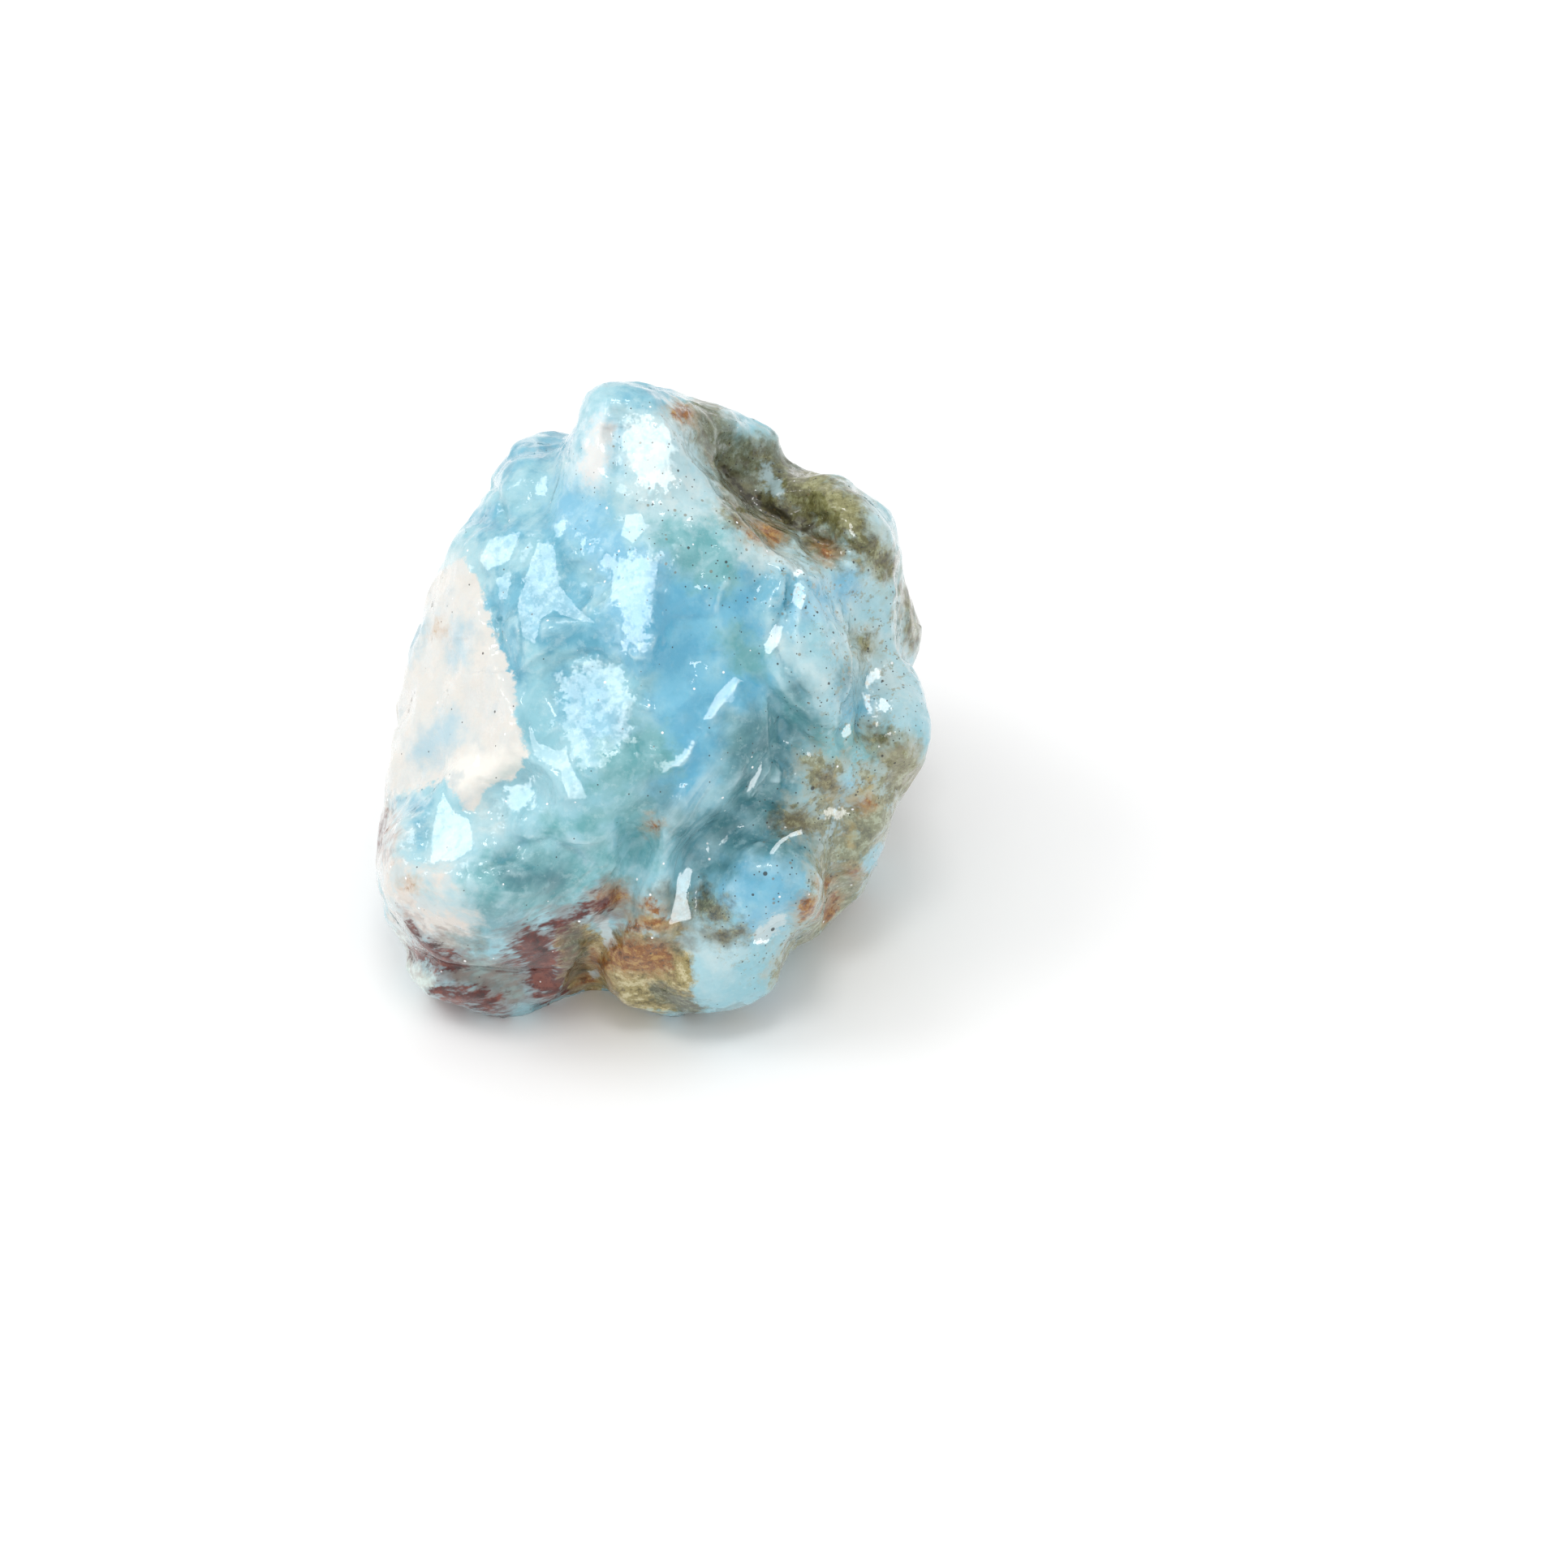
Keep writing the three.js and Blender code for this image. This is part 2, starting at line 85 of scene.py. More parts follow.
def normals_of(mesh):
    flat = np.empty(len(mesh.vertices) * 3)
    mesh.vertices.foreach_get("normal", flat)
    return flat.reshape(-1, 3)


def smoothed(points, rounds, share=0.5):
    """The skin's points, each moved by share towards its neighbours' middle, rounds times."""
    edge_ends = np.empty(len(skin_mesh.edges) * 2, dtype=np.int64)
    skin_mesh.edges.foreach_get("vertices", edge_ends)
    neighbours = np.maximum(np.bincount(edge_ends, minlength=len(points)), 1)
    first, second = edge_ends.reshape(-1, 2).T
    for _ in range(rounds):
        middles = [
            np.bincount(first, axis[second], len(axis)) + np.bincount(second, axis[first], len(axis))
            for axis in points.T]
        points = points + share * (np.stack(middles, axis=1) / neighbours[:, None] - points)
    return points


resting = points_of(skin_mesh)[:, 2] < TOUCHES_TABLE


def shape_skin(points):
    """Gives the skin its points, and keeps the broken flat that it rests on at the table's height."""
    points = points.copy()
    points[resting, 2] = 0.0
    points[:, 2] = np.maximum(points[:, 2], 0.0)
    skin_mesh.vertices.foreach_set("co", points.ravel())
    skin_mesh.update()


shape_skin(smoothed(points_of(skin_mesh), SMOOTHING_ROUNDS))


# ---------------------------------------------------------------- natural breaks
# The rock breaks in small shell-like chips, in sharp little creases and in flat faces that catch the light.
# Wear has softened them. All of it is shaped into the skin, from the largest breaks to the smallest.

# Lumps of wear: how far across, and how high.
WEAR_LUMPS = ((2.6, 0.10), (1.2, 0.045), (0.55, 0.02))
CHIP_SEED = 11
WEAR_SEED, WEAR_SEED_STEP = 5.3, 3.1
SHELL_CHIPS = (
    {"spacing": 3.8, "tilt": 0.06, "bowl": 0.03, "soft": 0.01},
    {"spacing": 1.7, "tilt": 0.06, "bowl": 0.04, "soft": 0.005},
    {"spacing": 0.9, "tilt": 0.04, "bowl": 0.05, "soft": 0.004},
)

# Creases and ribs on the face: how far out (or, below 0, how far in), from middle to edge, and the path.
CREASES = (
    (-0.60, 0.9, [(9.2, 9.0), (8.7, 7.1), (8.2, 5.4), (7.9, 4.0), (8.4, 2.4), (9.6, 0.4), (11.0, -2.2)]),
    (-0.30, 0.8, [(8.9, 8.5), (9.4, 6.4), (10.7, 4.9), (12.3, 3.8)]),
    (-0.60, 0.7, [(10.6, 8.2), (11.1, 7.3), (12.1, 5.3), (13.2, 4.2), (13.3, 2.8), (12.7, 1.2)]),
    (0.45, 0.7, [(9.6, 8.4), (9.6, 6.4), (9.2, 4.6), (9.6, 2.8)]),
    (-0.40, 0.7, [(11.6, 0.6), (12.4, -1.0), (12.0, -2.8), (13.0, -4.2)]),
    (-0.45, 1.0, [(-9.2, -9.6), (-6.8, -9.0), (-4.8, -10.2), (-3.6, -11.6)]),
    (-0.40, 0.9, [(-12.0, -11.6), (-10.2, -10.6), (-8.8, -9.8), (-8.6, -8.2)]),
    (-0.35, 0.7, [(-10.8, 14.9), (-10.1, 12.8), (-9.4, 11.2)]),
    (-0.30, 0.7, [(-10.2, 15.6), (-8.2, 16.3), (-5.6, 16.5)]),
    (-0.35, 0.6, [(-2.9, 18.4), (-2.5, 16.4), (-2.5, 14.2)]),
    (0.30, 0.5, [(-4.6, 5.4), (-3.9, 6.6), (-3.7, 7.9)]),
    (0.30, 0.6, [(5.0, 8.2), (4.2, 7.0), (3.9, 5.2)]),
    (0.40, 0.7, [(3.0, -1.6), (4.4, -0.2), (5.8, 1.6)]),
    (0.35, 0.6, [(0.4, -4.6), (1.9, -3.8), (3.2, -1.8)]),
    (0.40, 0.7, [(5.7, -6.8), (6.7, -5.0), (7.5, -3.6)]),
    (0.45, 0.8, [(0.9, -15.0), (1.7, -13.2), (2.1, -11.0), (2.6, -9.6)]),
    (0.30, 0.6, [(7.4, -10.2), (8.3, -9.3), (9.8, -8.6)]),
    (-0.35, 0.8, [(8.6, -6.6), (7.2, -8.4), (4.8, -9.8)]),
    (-0.30, 0.6, [(6.0, 2.4), (7.4, 0.8), (8.4, -1.4), (8.2, -3.4)]),
    (-0.30, 0.6, [(-7.8, 0.8), (-6.4, 2.2), (-4.6, 3.0), (-2.6, 3.2)]),
    (0.30, 0.7, [(-9.0, 1.4), (-7.6, 3.0), (-6.0, 4.0)]),
    (-0.50, 0.5, [(3.6, 16.2), (4.9, 14.6), (7.5, 12.1), (9.2, 11.3)]),
    (-0.45, 0.5, [(8.8, 11.2), (10.9, 10.5), (12.6, 10.2), (14.4, 9.4)]),
    (-0.40, 0.5, [(7.4, -3.2), (8.6, -4.6), (8.3, -6.4)]),
    (0.35, 0.5, [(10.2, 9.9), (11.8, 9.2), (13.4, 8.2)]),
)

# Flat faces that all lie nearly one way, and so catch the light together. For each: how ragged its edge is,
# how far it leans off that way, and its outline on the face. Those down the right look up instead.
CATCH_LIGHT = np.array([-0.355, 0.348, 0.868])
LOOKING_UP = (0.369, -0.083)
FLAT_FACES = (
    (0.06, (0.0245, -0.014), [
        (-7.6, 10.3), (-6.5, 10.1), (-6.1, 7.4), (-4.9, 5.9), (-3.6, 4.9), (-5.3, 5.3),
        (-6.6, 5.8), (-7.4, 5.2), (-7.7, 3.6), (-8.5, 4.1), (-8.9, 6.2), (-8.2, 8.3)]),
    (0.10, (-0.021, 0.0175), [(-10.8, 10.4), (-8.7, 10.9), (-9.4, 9.1), (-10.8, 8.4), (-11.4, 9.1)]),
    (0.10, (0.021, 0.021), [(-10.2, 7.9), (-9.2, 8.6), (-9.5, 6.7), (-10.1, 6.5)]),
    (0.55, (0.0175, 0.0035), [
        (-3.4, 9.1), (-0.8, 9.6), (1.2, 9.1), (0.5, 7.8), (-0.3, 5.4), (-0.6, 3.3),
        (-1.9, 3.3), (-2.0, 5.4), (-2.5, 6.2), (-2.7, 7.8)]),
    (0.55, (0.0105, -0.021), [
        (-6.1, 1.7), (-4.5, 2.5), (-2.4, 2.3), (-1.2, 0.2), (-1.6, -2.5), (-3.2, -3.8),
        (-4.8, -4.6), (-5.6, -3.0), (-6.1, -0.9)]),
    (0.08, (-0.0175, -0.0175), [
        (-8.2, -1.4), (-7.6, -2.7), (-6.1, -3.3), (-5.6, -2.7), (-5.6, -3.8), (-4.2, -6.4),
        (-5.6, -6.4), (-6.1, -4.6), (-7.9, -3.5)]),
    (0.50, (0.007, 0.0175), [
        (-1.9, 18.1), (-0.3, 18.3), (1.3, 17.5), (1.5, 14.4), (0.7, 13.6), (-0.8, 13.8),
        (-1.6, 15.4), (-2.0, 16.7)]),
    (0.12, (0.0035, 0.014), [
        (-13.7, -5.9), (-12.9, -7.2), (-12.0, -7.7), (-11.7, -9.6), (-12.9, -10.4),
        (-14.5, -10.4), (-14.4, -8.3)]),
    (0.60, (0.0105, 0.007), [(-9.9, -5.5), (-7.9, -4.8), (-7.7, -6.4), (-8.7, -7.2), (-9.5, -6.7)]),
    (0.15, (0.0105, 0.0105), [(-7.8, 14.0), (-7.3, 14.6), (-6.8, 14.4), (-7.1, 13.3), (-7.7, 13.2)]),
    (0.08, (-0.014, 0.014), [(-1.9, 12.0), (-0.8, 12.2), (-0.5, 11.2), (-1.4, 10.2), (-2.2, 10.7)]),
    (0.15, (0.0105, -0.0105), [(-6.5, 11.5), (-5.7, 11.7), (-5.8, 10.7), (-6.4, 10.4)]),
    (0.15, (0.0105, 0.014), [(-4.9, 10.4), (-4.3, 10.7), (-4.6, 9.4)]),
    (0.03, (0.007, 0), [(3.1, -1.3), (4.1, 0.5), (5.2, 1.6), (5.9, 1.2), (5.2, 0.0), (3.9, -1.2)]),
    (0.03, LOOKING_UP, [(5.9, -6.2), (6.2, -5.2), (7.0, -3.9), (7.0, -4.6), (6.5, -5.6)]),
    (0.03, LOOKING_UP, [
        (1.9, -10.5), (2.5, -11.0), (2.2, -13.0), (2.5, -14.2), (0.9, -14.6), (1.3, -13.0), (1.5, -11.4)]),
    (0.12, LOOKING_UP, [(6.4, -15.7), (7.1, -14.5), (8.1, -13.7), (8.5, -14.2), (7.9, -15.1), (7.3, -16.0)]),
    (0.03, LOOKING_UP, [
        (7.4, -9.9), (8.0, -9.1), (8.8, -8.6), (9.6, -8.3), (9.7, -8.7), (8.8, -8.9), (8.2, -9.4),
        (7.7, -10.1)]),
    (0.25, LOOKING_UP, [(8.8, 8.4), (9.6, 8.5), (9.2, 7.6)]),
    (0.25, LOOKING_UP, [(9.4, 7.9), (9.9, 7.2), (9.6, 6.0), (9.0, 6.2)]),
    (0.10, LOOKING_UP, [(7.2, 3.6), (7.8, 5.0), (8.3, 4.8), (8.0, 3.5), (7.2, 2.8)]),
    (0.25, LOOKING_UP, [(13.4, 1.0), (14.0, 2.0), (15.2, 2.3), (14.6, 1.5), (13.8, 0.8)]),
    (0.28, LOOKING_UP, [(13.5, 0.4), (14.2, 0.6), (14.3, -0.8), (13.7, -1.0)]),
    (0.15, LOOKING_UP, [(14.7, 0.2), (15.3, -0.2), (15.1, -0.9), (14.6, -0.6)]),
    (0.15, LOOKING_UP, [(12.0, -1.8), (12.7, -1.4), (12.8, -2.2), (12.3, -2.4)]),
    (0.20, LOOKING_UP, [(2.6, -9.2), (3.6, -8.8), (3.5, -9.8)]),
    (0.30, (0.0, 0.0), [
        (0.0, -4.0), (1.2, -3.9), (2.2, -3.0), (3.1, -1.9), (3.3, -2.1), (2.4, -3.4), (1.4, -4.5),
        (0.4, -4.8)]),
    (0.40, LOOKING_UP, [(11.0, -7.2), (12.0, -6.7), (12.6, -7.4), (11.6, -7.8)]),
)


def rise(value, low, high):
    """0 below low, 1 above high, and a smooth climb between."""
    share = np.clip((value - low) / (high - low), 0, 1)
    return share * share * (3 - 2 * share)


# The paths and outlines on the face were drawn from a point in front of it, where raised parts look larger.
DRAWN_FROM = np.array([8.4, -5.4, 282.0])


def as_drawn(points):
    closer = DRAWN_FROM[2] / (DRAWN_FROM[2] - points[:, 2])
    return DRAWN_FROM[:2] + (points[:, :2] - DRAWN_FROM[:2]) * closer[:, None]


def to_path(points, path):
    """Each point's distance from a path on the face, and how far along the path that is, from 0 to 1."""
    drawn = as_drawn(points)
    nearest = np.full(len(points), np.inf)
    along = np.zeros(len(points))
    path = np.array(path)
    for number, (start, end) in enumerate(zip(path[:-1], path[1:])):
        span = end - start
        share = np.clip((drawn - start) @ span / (span @ span), 0, 1)
        off = np.hypot(*(drawn - start - share[:, None] * span).T)
        along = np.where(off < nearest, (number + share) / (len(path) - 1), along)
        nearest = np.minimum(nearest, off)
    return nearest, along


def within(points, outline):
    """Millimetres inside a closed outline on the face, below 0 outside it."""
    off, _ = to_path(points, [*outline, outline[0]])
    drawn = as_drawn(points)
    crossings = np.zeros(len(points), dtype=int)
    for (ax, ay), (bx, by) in zip(outline, [*outline[1:], outline[0]]):
        beside = (drawn[:, 1] < ay) != (drawn[:, 1] < by)
        level = np.where(beside, (drawn[:, 1] - ay) / (by - ay if by != ay else 1.0), 0.0)
        crossings += beside & (drawn[:, 0] < ax + level * (bx - ax))
    return np.where(crossings % 2 == 1, off, -off)


def soft_noise(points, size, seed=0.0):
    """Smooth noise from -1 to 1 at points in millimetres, with lumps about size across."""
    places = points / size + seed
    return np.array([noise.noise(place) for place in places.tolist()])


def chip_field(points, spacing, tilt, bowl, soft, seed):
    """Shell-like chips: each point takes the lowest of the tilted bowls that lie nearest to it."""
    random = np.random.default_rng(seed)
    low, high = points.min(0) - spacing, points.max(0) + spacing
    shape = np.ceil((high - low) / spacing).astype(int)
    cells = np.stack(np.meshgrid(*[np.arange(n) for n in shape], indexing="ij"), axis=-1).reshape(-1, 3)
    centres = low + (cells + random.random(cells.shape)) * spacing
    slopes = random.normal(0, tilt, centres.shape)
    order = np.full(tuple(shape), -1)
    order[tuple(cells.T)] = np.arange(len(cells))
    home = np.clip(((points - low) / spacing).astype(int), 1, shape - 2)
    heights = []
    for step in np.ndindex(3, 3, 3):
        index = order[tuple((home + np.array(step) - 1).T)]
        off = points - centres[index]
        heights.append((off * slopes[index]).sum(1) + bowl * (off * off).sum(1))
    heights = np.stack(heights)
    lowest = heights.min(0)
    return lowest - soft * np.log(np.exp(-(heights - lowest) / soft).sum(0))


face = to_face(points_of(skin_mesh))
outward = normals_of(skin_mesh) @ FACE_AXES.T
FRONT_STARTS = (-1, 2)
front = rise(face[:, 2], *FRONT_STARTS)
relief = np.zeros(len(face))
for number, chips in enumerate(SHELL_CHIPS):
    field = chip_field(face, seed=CHIP_SEED + number, **chips)
    relief += field - field.mean()
for number, (size, height) in enumerate(WEAR_LUMPS):
    relief += height * soft_noise(face, size, WEAR_SEED + WEAR_SEED_STEP * number)

# Creases wander by up to RAGGED, die out over ENDS of their length, and rise to a blunt ridge.
RAGGED, ENDS, BLUNTNESS = 0.3, 0.25, 1.5
ragged = RAGGED * soft_noise(face, 0.9, seed=31.0)
for height, reach, path in CREASES:
    off, along = to_path(face, path)
    ends = rise(np.minimum(along, 1 - along), 0, ENDS)
    relief += front * ends * height * np.clip(1 - np.abs(off + ragged) / reach, 0, 1) ** BLUNTNESS

# Fibres of pectolite stand a little proud where they run down the valley and under the left bulge.
FIBRE_HEIGHT = 0.07
ACROSS_FIBRE, ALONG_FIBRE, INTO_FIBRE = 2.4, 3.0, 0.4
FIBRE_LINES = ((2.6, [(6.4, -2.0), (2.8, -6.6), (0.4, -10.0), (-1.0, -14.4)]),
               (2.2, [(-14.6, -12.2), (-10.0, -13.0), (-5.6, -12.6), (-3.2, -10.6)]))
for reach, path in FIBRE_LINES:
    off, along = to_path(face, path)
    strand_places = np.stack([off * ACROSS_FIBRE, along * ALONG_FIBRE, face[:, 2] * INTO_FIBRE], axis=1)
    strands = soft_noise(strand_places, 1.0, seed=47.0)
    relief += front * FIBRE_HEIGHT * (1 - 2 * np.abs(strands)) * np.clip(1 - off / reach, 0, 1)
face += outward * relief[:, None]

# A flat face is drawn half way to its level, and no point by more than MOST_MOVED. Skin that is farther off
# than OFF_LEVEL isn't part of it. Its edge wanders in lumps: how far across, how much, and a seed.
FLATNESS = 0.5
MOST_MOVED = 0.35
OFF_LEVEL = 4 * MOST_MOVED
FLAT_EDGE = (-0.35, 0.3)
EDGE_LUMPS = ((0.8, 3.5, 61.0), (0.4, 2.5, 67.0))
FARTHER_ROUND = 0.0034
FAR_OUTSIDE = -9.0


def way_of(lean, outline):
    """Which way a flat face looks. Faces farther round the lump look back a little towards its middle."""
    middle = np.mean(outline, axis=0)
    way = CATCH_LIGHT + np.array([*lean, 0]) - FARTHER_ROUND * np.array([*middle, 0])
    return way / np.linalg.norm(way)


edge_wander = sum(wander * soft_noise(face, size, seed) for size, wander, seed in EDGE_LUMPS)
for raggedness, lean, outline in FLAT_FACES:
    way = way_of(lean, outline)
    inside = within(face, outline) + raggedness * edge_wander
    proud = face @ way
    level = np.median(proud[(inside > 0) & (face[:, 2] > 0)])
    inside = np.where(np.abs(level - proud) < OFF_LEVEL, inside, FAR_OUTSIDE)
    flat = FLATNESS * rise(inside, *FLAT_EDGE)
    face += way * (np.clip(level - proud, -MOST_MOVED, MOST_MOVED) * flat)[:, None]

shape_skin(smoothed(from_face(face), rounds=1, share=0.3))

# The back is plainer than the face, so it is made coarser first. Then the whole is thinned to its budget. A
# closed skin has two triangles for each of its points.
BACK_BEHIND = -2.5
BACK_KEPT = 0.2
SKIN_TRIANGLES = 196000


def thinned(mesh, ratio, group=""):
    stone.data = mesh
    thinning = stone.modifiers.new("thinning", "DECIMATE")
    thinning.ratio = ratio
    thinning.vertex_group = group
    thin = bpy.data.meshes.new_from_object(stone.evaluated_get(bpy.context.evaluated_depsgraph_get()))
    stone.modifiers.clear()
    return thin


back = np.flatnonzero(to_face(points_of(skin_mesh))[:, 2] < BACK_BEHIND)
stone.vertex_groups.new(name="back").add(back.tolist(), 1.0, "REPLACE")
back_share = len(back) / len(skin_mesh.vertices)
skin_mesh = thinned(skin_mesh, 1 - back_share * (1 - BACK_KEPT), "back")
skin_mesh = thinned(skin_mesh, SKIN_TRIANGLES / (2 * len(skin_mesh.vertices)))
stone.vertex_groups.clear()
stone.data = skin_mesh
skin_mesh.polygons.foreach_set("use_smooth", [True] * len(skin_mesh.polygons))
face = to_face(points_of(skin_mesh))


# ---------------------------------------------------------------- blue pectolite
# The stone itself: pectolite, coloured by copper from near white to deep sea blue, with milky fibres through
# it. It takes in a little light before giving it back.

stone_finish = bpy.data.materials.new("wet_larimar")
stone_finish.use_nodes = True
tree = stone_finish.node_tree
tree.nodes.clear()


def node(kind, inputs, **settings):
    """A node of the stone's finish. Each input is a value, or another node's socket to read."""
    made = tree.nodes.new(kind)
    for name, value in settings.items():
        setattr(made, name, value)
    for name, value in inputs.items():
        if isinstance(value, bpy.types.NodeSocket):
            tree.links.new(value, made.inputs[name])
        else:
            made.inputs[name].default_value = value
    return made


def at_points(name, values):
    """Keeps values with the skin's points, and gives the node socket that reads them."""
    kind = "FLOAT_VECTOR" if values.ndim == 2 else "FLOAT"
    kept = skin_mesh.attributes.new(name, kind, "POINT")
    kept.data.foreach_set("vector" if values.ndim == 2 else "value", values.ravel())
    read = node("ShaderNodeAttribute", {}, attribute_name=name)
    return read.outputs["Vector" if values.ndim == 2 else "Fac"]


on_face = at_points("on_face", face)


def cloud(size, detail=4, seed=0.0, stretch=(1, 1, 1), turn=0.0, warp=0.0, rough=0.55):
    """Noise round 0.5, in lumps about size millimetres across. They are turned by so many degrees, then drawn
    out by stretch."""
    turned = node("ShaderNodeMapping", {"Vector": on_face, "Rotation": (0, 0, -math.radians(turn))})
    placed = node("ShaderNodeMapping", {
        "Vector": turned.outputs[0], "Location": (seed, seed * 1.7, -seed),
        "Scale": [1 / (size * s) for s in stretch]})
    return node("ShaderNodeTexNoise", {
        "Vector": placed.outputs[0], "Scale": 1.0, "Detail": detail, "Roughness": rough,
        "Distortion": warp}).outputs["Fac"]


# Nobody sees colour that changes within less than this, so it is left out, which saves rendering time.
FINEST_SEEN = 0.06


def detail_seen(size, most):
    """How many times a cloud's lumps are halved, down to what can be seen."""
    return min(most, round(math.log2(size / FINEST_SEEN)))


def between(value, low, high, to_low=0.0, to_high=1.0):
    """to_low where value is at low, to_high where it is at high, and a smooth climb between."""
    return node("ShaderNodeMapRange", {
        "Value": value, "From Min": low, "From Max": high, "To Min": to_low, "To Max": to_high},
        interpolation_type="SMOOTHSTEP").outputs[0]


def maths(operation, a, b, c=0.0):
    return node("ShaderNodeMath", {0: a, 1: b, 2: c}, operation=operation).outputs[0]


def paint(red, green, blue):
    """The node colour of a paint given in everyday 0 to 255 values."""
    return (*[((v / 255 + 0.055) / 1.055) ** 2.4 for v in (red, green, blue)], 1.0)


def laid_over(under, amount, colour):
    """A colour with another laid over it, from an amount of 0, not at all, to 1, hiding it."""
    return node("ShaderNodeMix", {0: amount, 6: under, 7: colour}, data_type="RGBA").outputs[2]


def mottled(one, other, size, seed):
    """Two paints in soft blotches about size across."""
    return laid_over(one, between(cloud(size, detail_seen(size, 5), seed), 0.42, 0.6), other)


# The face ends where the skin is far back or turns away. Past there the stone is plainer.
BACK_STARTS = (-9, -5)
TURNED_AWAY = (-0.25, -0.05)
outlook = smoothed(normals_of(skin_mesh), rounds=20) @ FACE_AXES.T
in_front = rise(face[:, 2], *BACK_STARTS) * rise(outlook[:, 2], *TURNED_AWAY)
NONE_BEHIND = (1.0, 9.0, 0.0)
# Each mineral crosses from the face to the back along its own border, which wanders in lumps.
BORDER = (0.35, 0.65)
BORDER_WANDER, BORDER_LUMPS = 0.35, 2.5


def spread(patches, behind=NONE_BEHIND):
    """Millimetres inside the edge of the nearest patch, below 0 outside. A patch is a reach to either side of
    a path on the face. Behind the stone they are scattered in lumps: behind gives their size, how rare they
    are from 0 to 1, and a seed."""
    inside = np.full(len(face), FAR_OUTSIDE)
    for reach, path in patches:
        path = path if len(path) > 1 else [path[0], (path[0][0] + 0.01, path[0][1])]
        inside = np.maximum(inside, reach - to_path(face, path)[0])
    size, rarity, seed = behind
    scattered = size * (soft_noise(face, size, seed) - rarity)
    here = rise(in_front + BORDER_WANDER * soft_noise(face, BORDER_LUMPS, seed), *BORDER)
    return inside * here + scattered * (1 - here)


# A cloud strays by about a fifth to either side of 0.5.
CLOUD_SWING = 5


def grown(name, inside, wander, size, soft, seed, **drawn):
    """A mineral's amount from 0 to 1. Its edge wanders in and out by about wander millimetres, in lumps about
    size across, and fades over soft to either side."""
    lumps = cloud(size, detail_seen(size, 6), seed, rough=0.62, **drawn)
    edge = maths("MULTIPLY_ADD", lumps, CLOUD_SWING * wander, -0.5 * CLOUD_SWING * wander)
    return between(maths("ADD", at_points(name, inside), edge), -soft, soft)


def some_of(amount, share):
    return maths("MULTIPLY", amount, share)


# The ground colour, and whiter rock in it. One whiter patch, on a flat face low on the left, is a painted
# reflection.
colour = mottled(paint(138, 194, 207), paint(156, 203, 214), size=5.0, seed=3.0)
colour = laid_over(colour, between(cloud(2.2, 5, seed=8.0), 0.5, 0.75, to_high=0.8), paint(172, 208, 216))
pale_rock_and_painted_reflection = spread([
    (2.6, [(-0.2, 16.4), (0.8, 13.6), (3.2, 11.6)]), (2.0, [(4.0, 10.6), (8.2, 9.0), (11.6, 6.8)]),
    (1.8, [(13.8, 3.4), (15.4, 0.6)]), (1.2, [(2.6, -16.4), (4.4, -16.6)]),
    (1.3, [(-15.2, -13.0), (-14.2, -13.4)]), (1.3, [(-13.6, -10.6), (-12.4, -12.4)]),
    # This line's second patch, on the flat face low on the left, is a painted reflection, not whiter rock.
    (1.0, [(-11.4, -6.6), (-10.8, -8.2)]), (0.9, [(-13.0, -7.4), (-13.3, -9.2)]),
    (1.0, [(8.2, 3.4), (11.2, 1.0)]), (0.9, [(-5.6, 15.2), (-4.6, 14.4)]),
    (2.2, [(-13.6, 8.6), (-16.8, 0.0), (-17.4, -8.0)]), (1.2, [(12.4, 12.8), (15.4, 9.6)])],
    behind=(8.0, 0.0, 14.0))
colour = laid_over(colour, grown("pale_rock_and_painted_reflection", pale_rock_and_painted_reflection, wander=1.2, size=2.4, soft=1.8, seed=5.0),
                   mottled(paint(178, 210, 216), paint(196, 217, 219), size=1.2, seed=9.0))

# The blues, from the palest that copper gives to the deepest.
medium_blue = spread([
    (1.6, [(-8.8, 7.2), (-7.4, 5.0), (-5.4, 5.0), (-3.8, 4.2)]),
    (0.9, [(-6.8, 11.4), (-5.6, 8.4), (-4.8, 6.4)]),
    (0.7, [(-10.0, 6.0), (-9.4, 3.8), (-8.9, 2.2)]), (1.8, [(-4.8, 0.8), (-3.6, -1.6)]),
    (0.9, [(8.4, -12.4), (9.6, -13.4)]), (0.9, [(-10.6, 11.6), (-8.8, 10.8)]),
    (0.6, [(-5.8, 17.4), (-6.2, 16.4)]), (0.6, [(-1.4, 19.8), (0.4, 19.8)]),
    (1.0, [(-9.4, 15.6), (-6.4, 16.6)]), (1.3, [(6.8, 7.2), (9.0, 6.8)]),
    (0.5, [(12.8, 0.4), (12.9, -1.2)]), (0.5, [(-15.6, -6.9), (-15.2, -9.0)])],
    behind=(7.0, 0.1, 134.0))
colour = laid_over(colour, grown("medium_blue", medium_blue, wander=1.0, size=1.8, soft=0.9, seed=6.0),
                   mottled(paint(88, 162, 186), paint(108, 177, 200), size=1.4, seed=10.0))
sky_blue = spread([
    (1.5, [(-5.4, 13.0), (-3.8, 10.8), (-2.6, 8.8)]), (0.2, [(-2.8, 17.8), (-2.5, 16.0)]),
    (1.6, [(-0.8, 8.6), (-1.4, 5.8), (-1.4, 3.6)]), (0.8, [(6.0, -14.6), (7.4, -13.4)]),
    (1.7, [(5.4, -11.8), (7.6, -11.2)]), (1.0, [(11.6, -8.4), (12.4, -6.6)]),
    (0.9, [(9.8, 5.6), (12.6, 7.4)])],
    behind=(7.0, 0.15, 24.0))
colour = laid_over(colour, grown("sky_blue", sky_blue, wander=0.9, size=1.6, soft=1.0, seed=21.0),
                   mottled(paint(122, 186, 213), paint(146, 200, 222), size=1.4, seed=23.0))
deep_blue = spread([
    (2.4, [(1.8, 6.0), (1.9, 2.4), (2.0, -1.8)]), (1.8, [(3.2, -1.4), (2.4, -4.6), (1.6, -5.4)]),
    (1.6, [(4.8, 6.6), (5.4, 4.2), (5.6, 0.6)]), (0.9, [(6.2, -11.4), (7.8, -12.4)])],
    behind=(8.0, 0.22, 34.0))
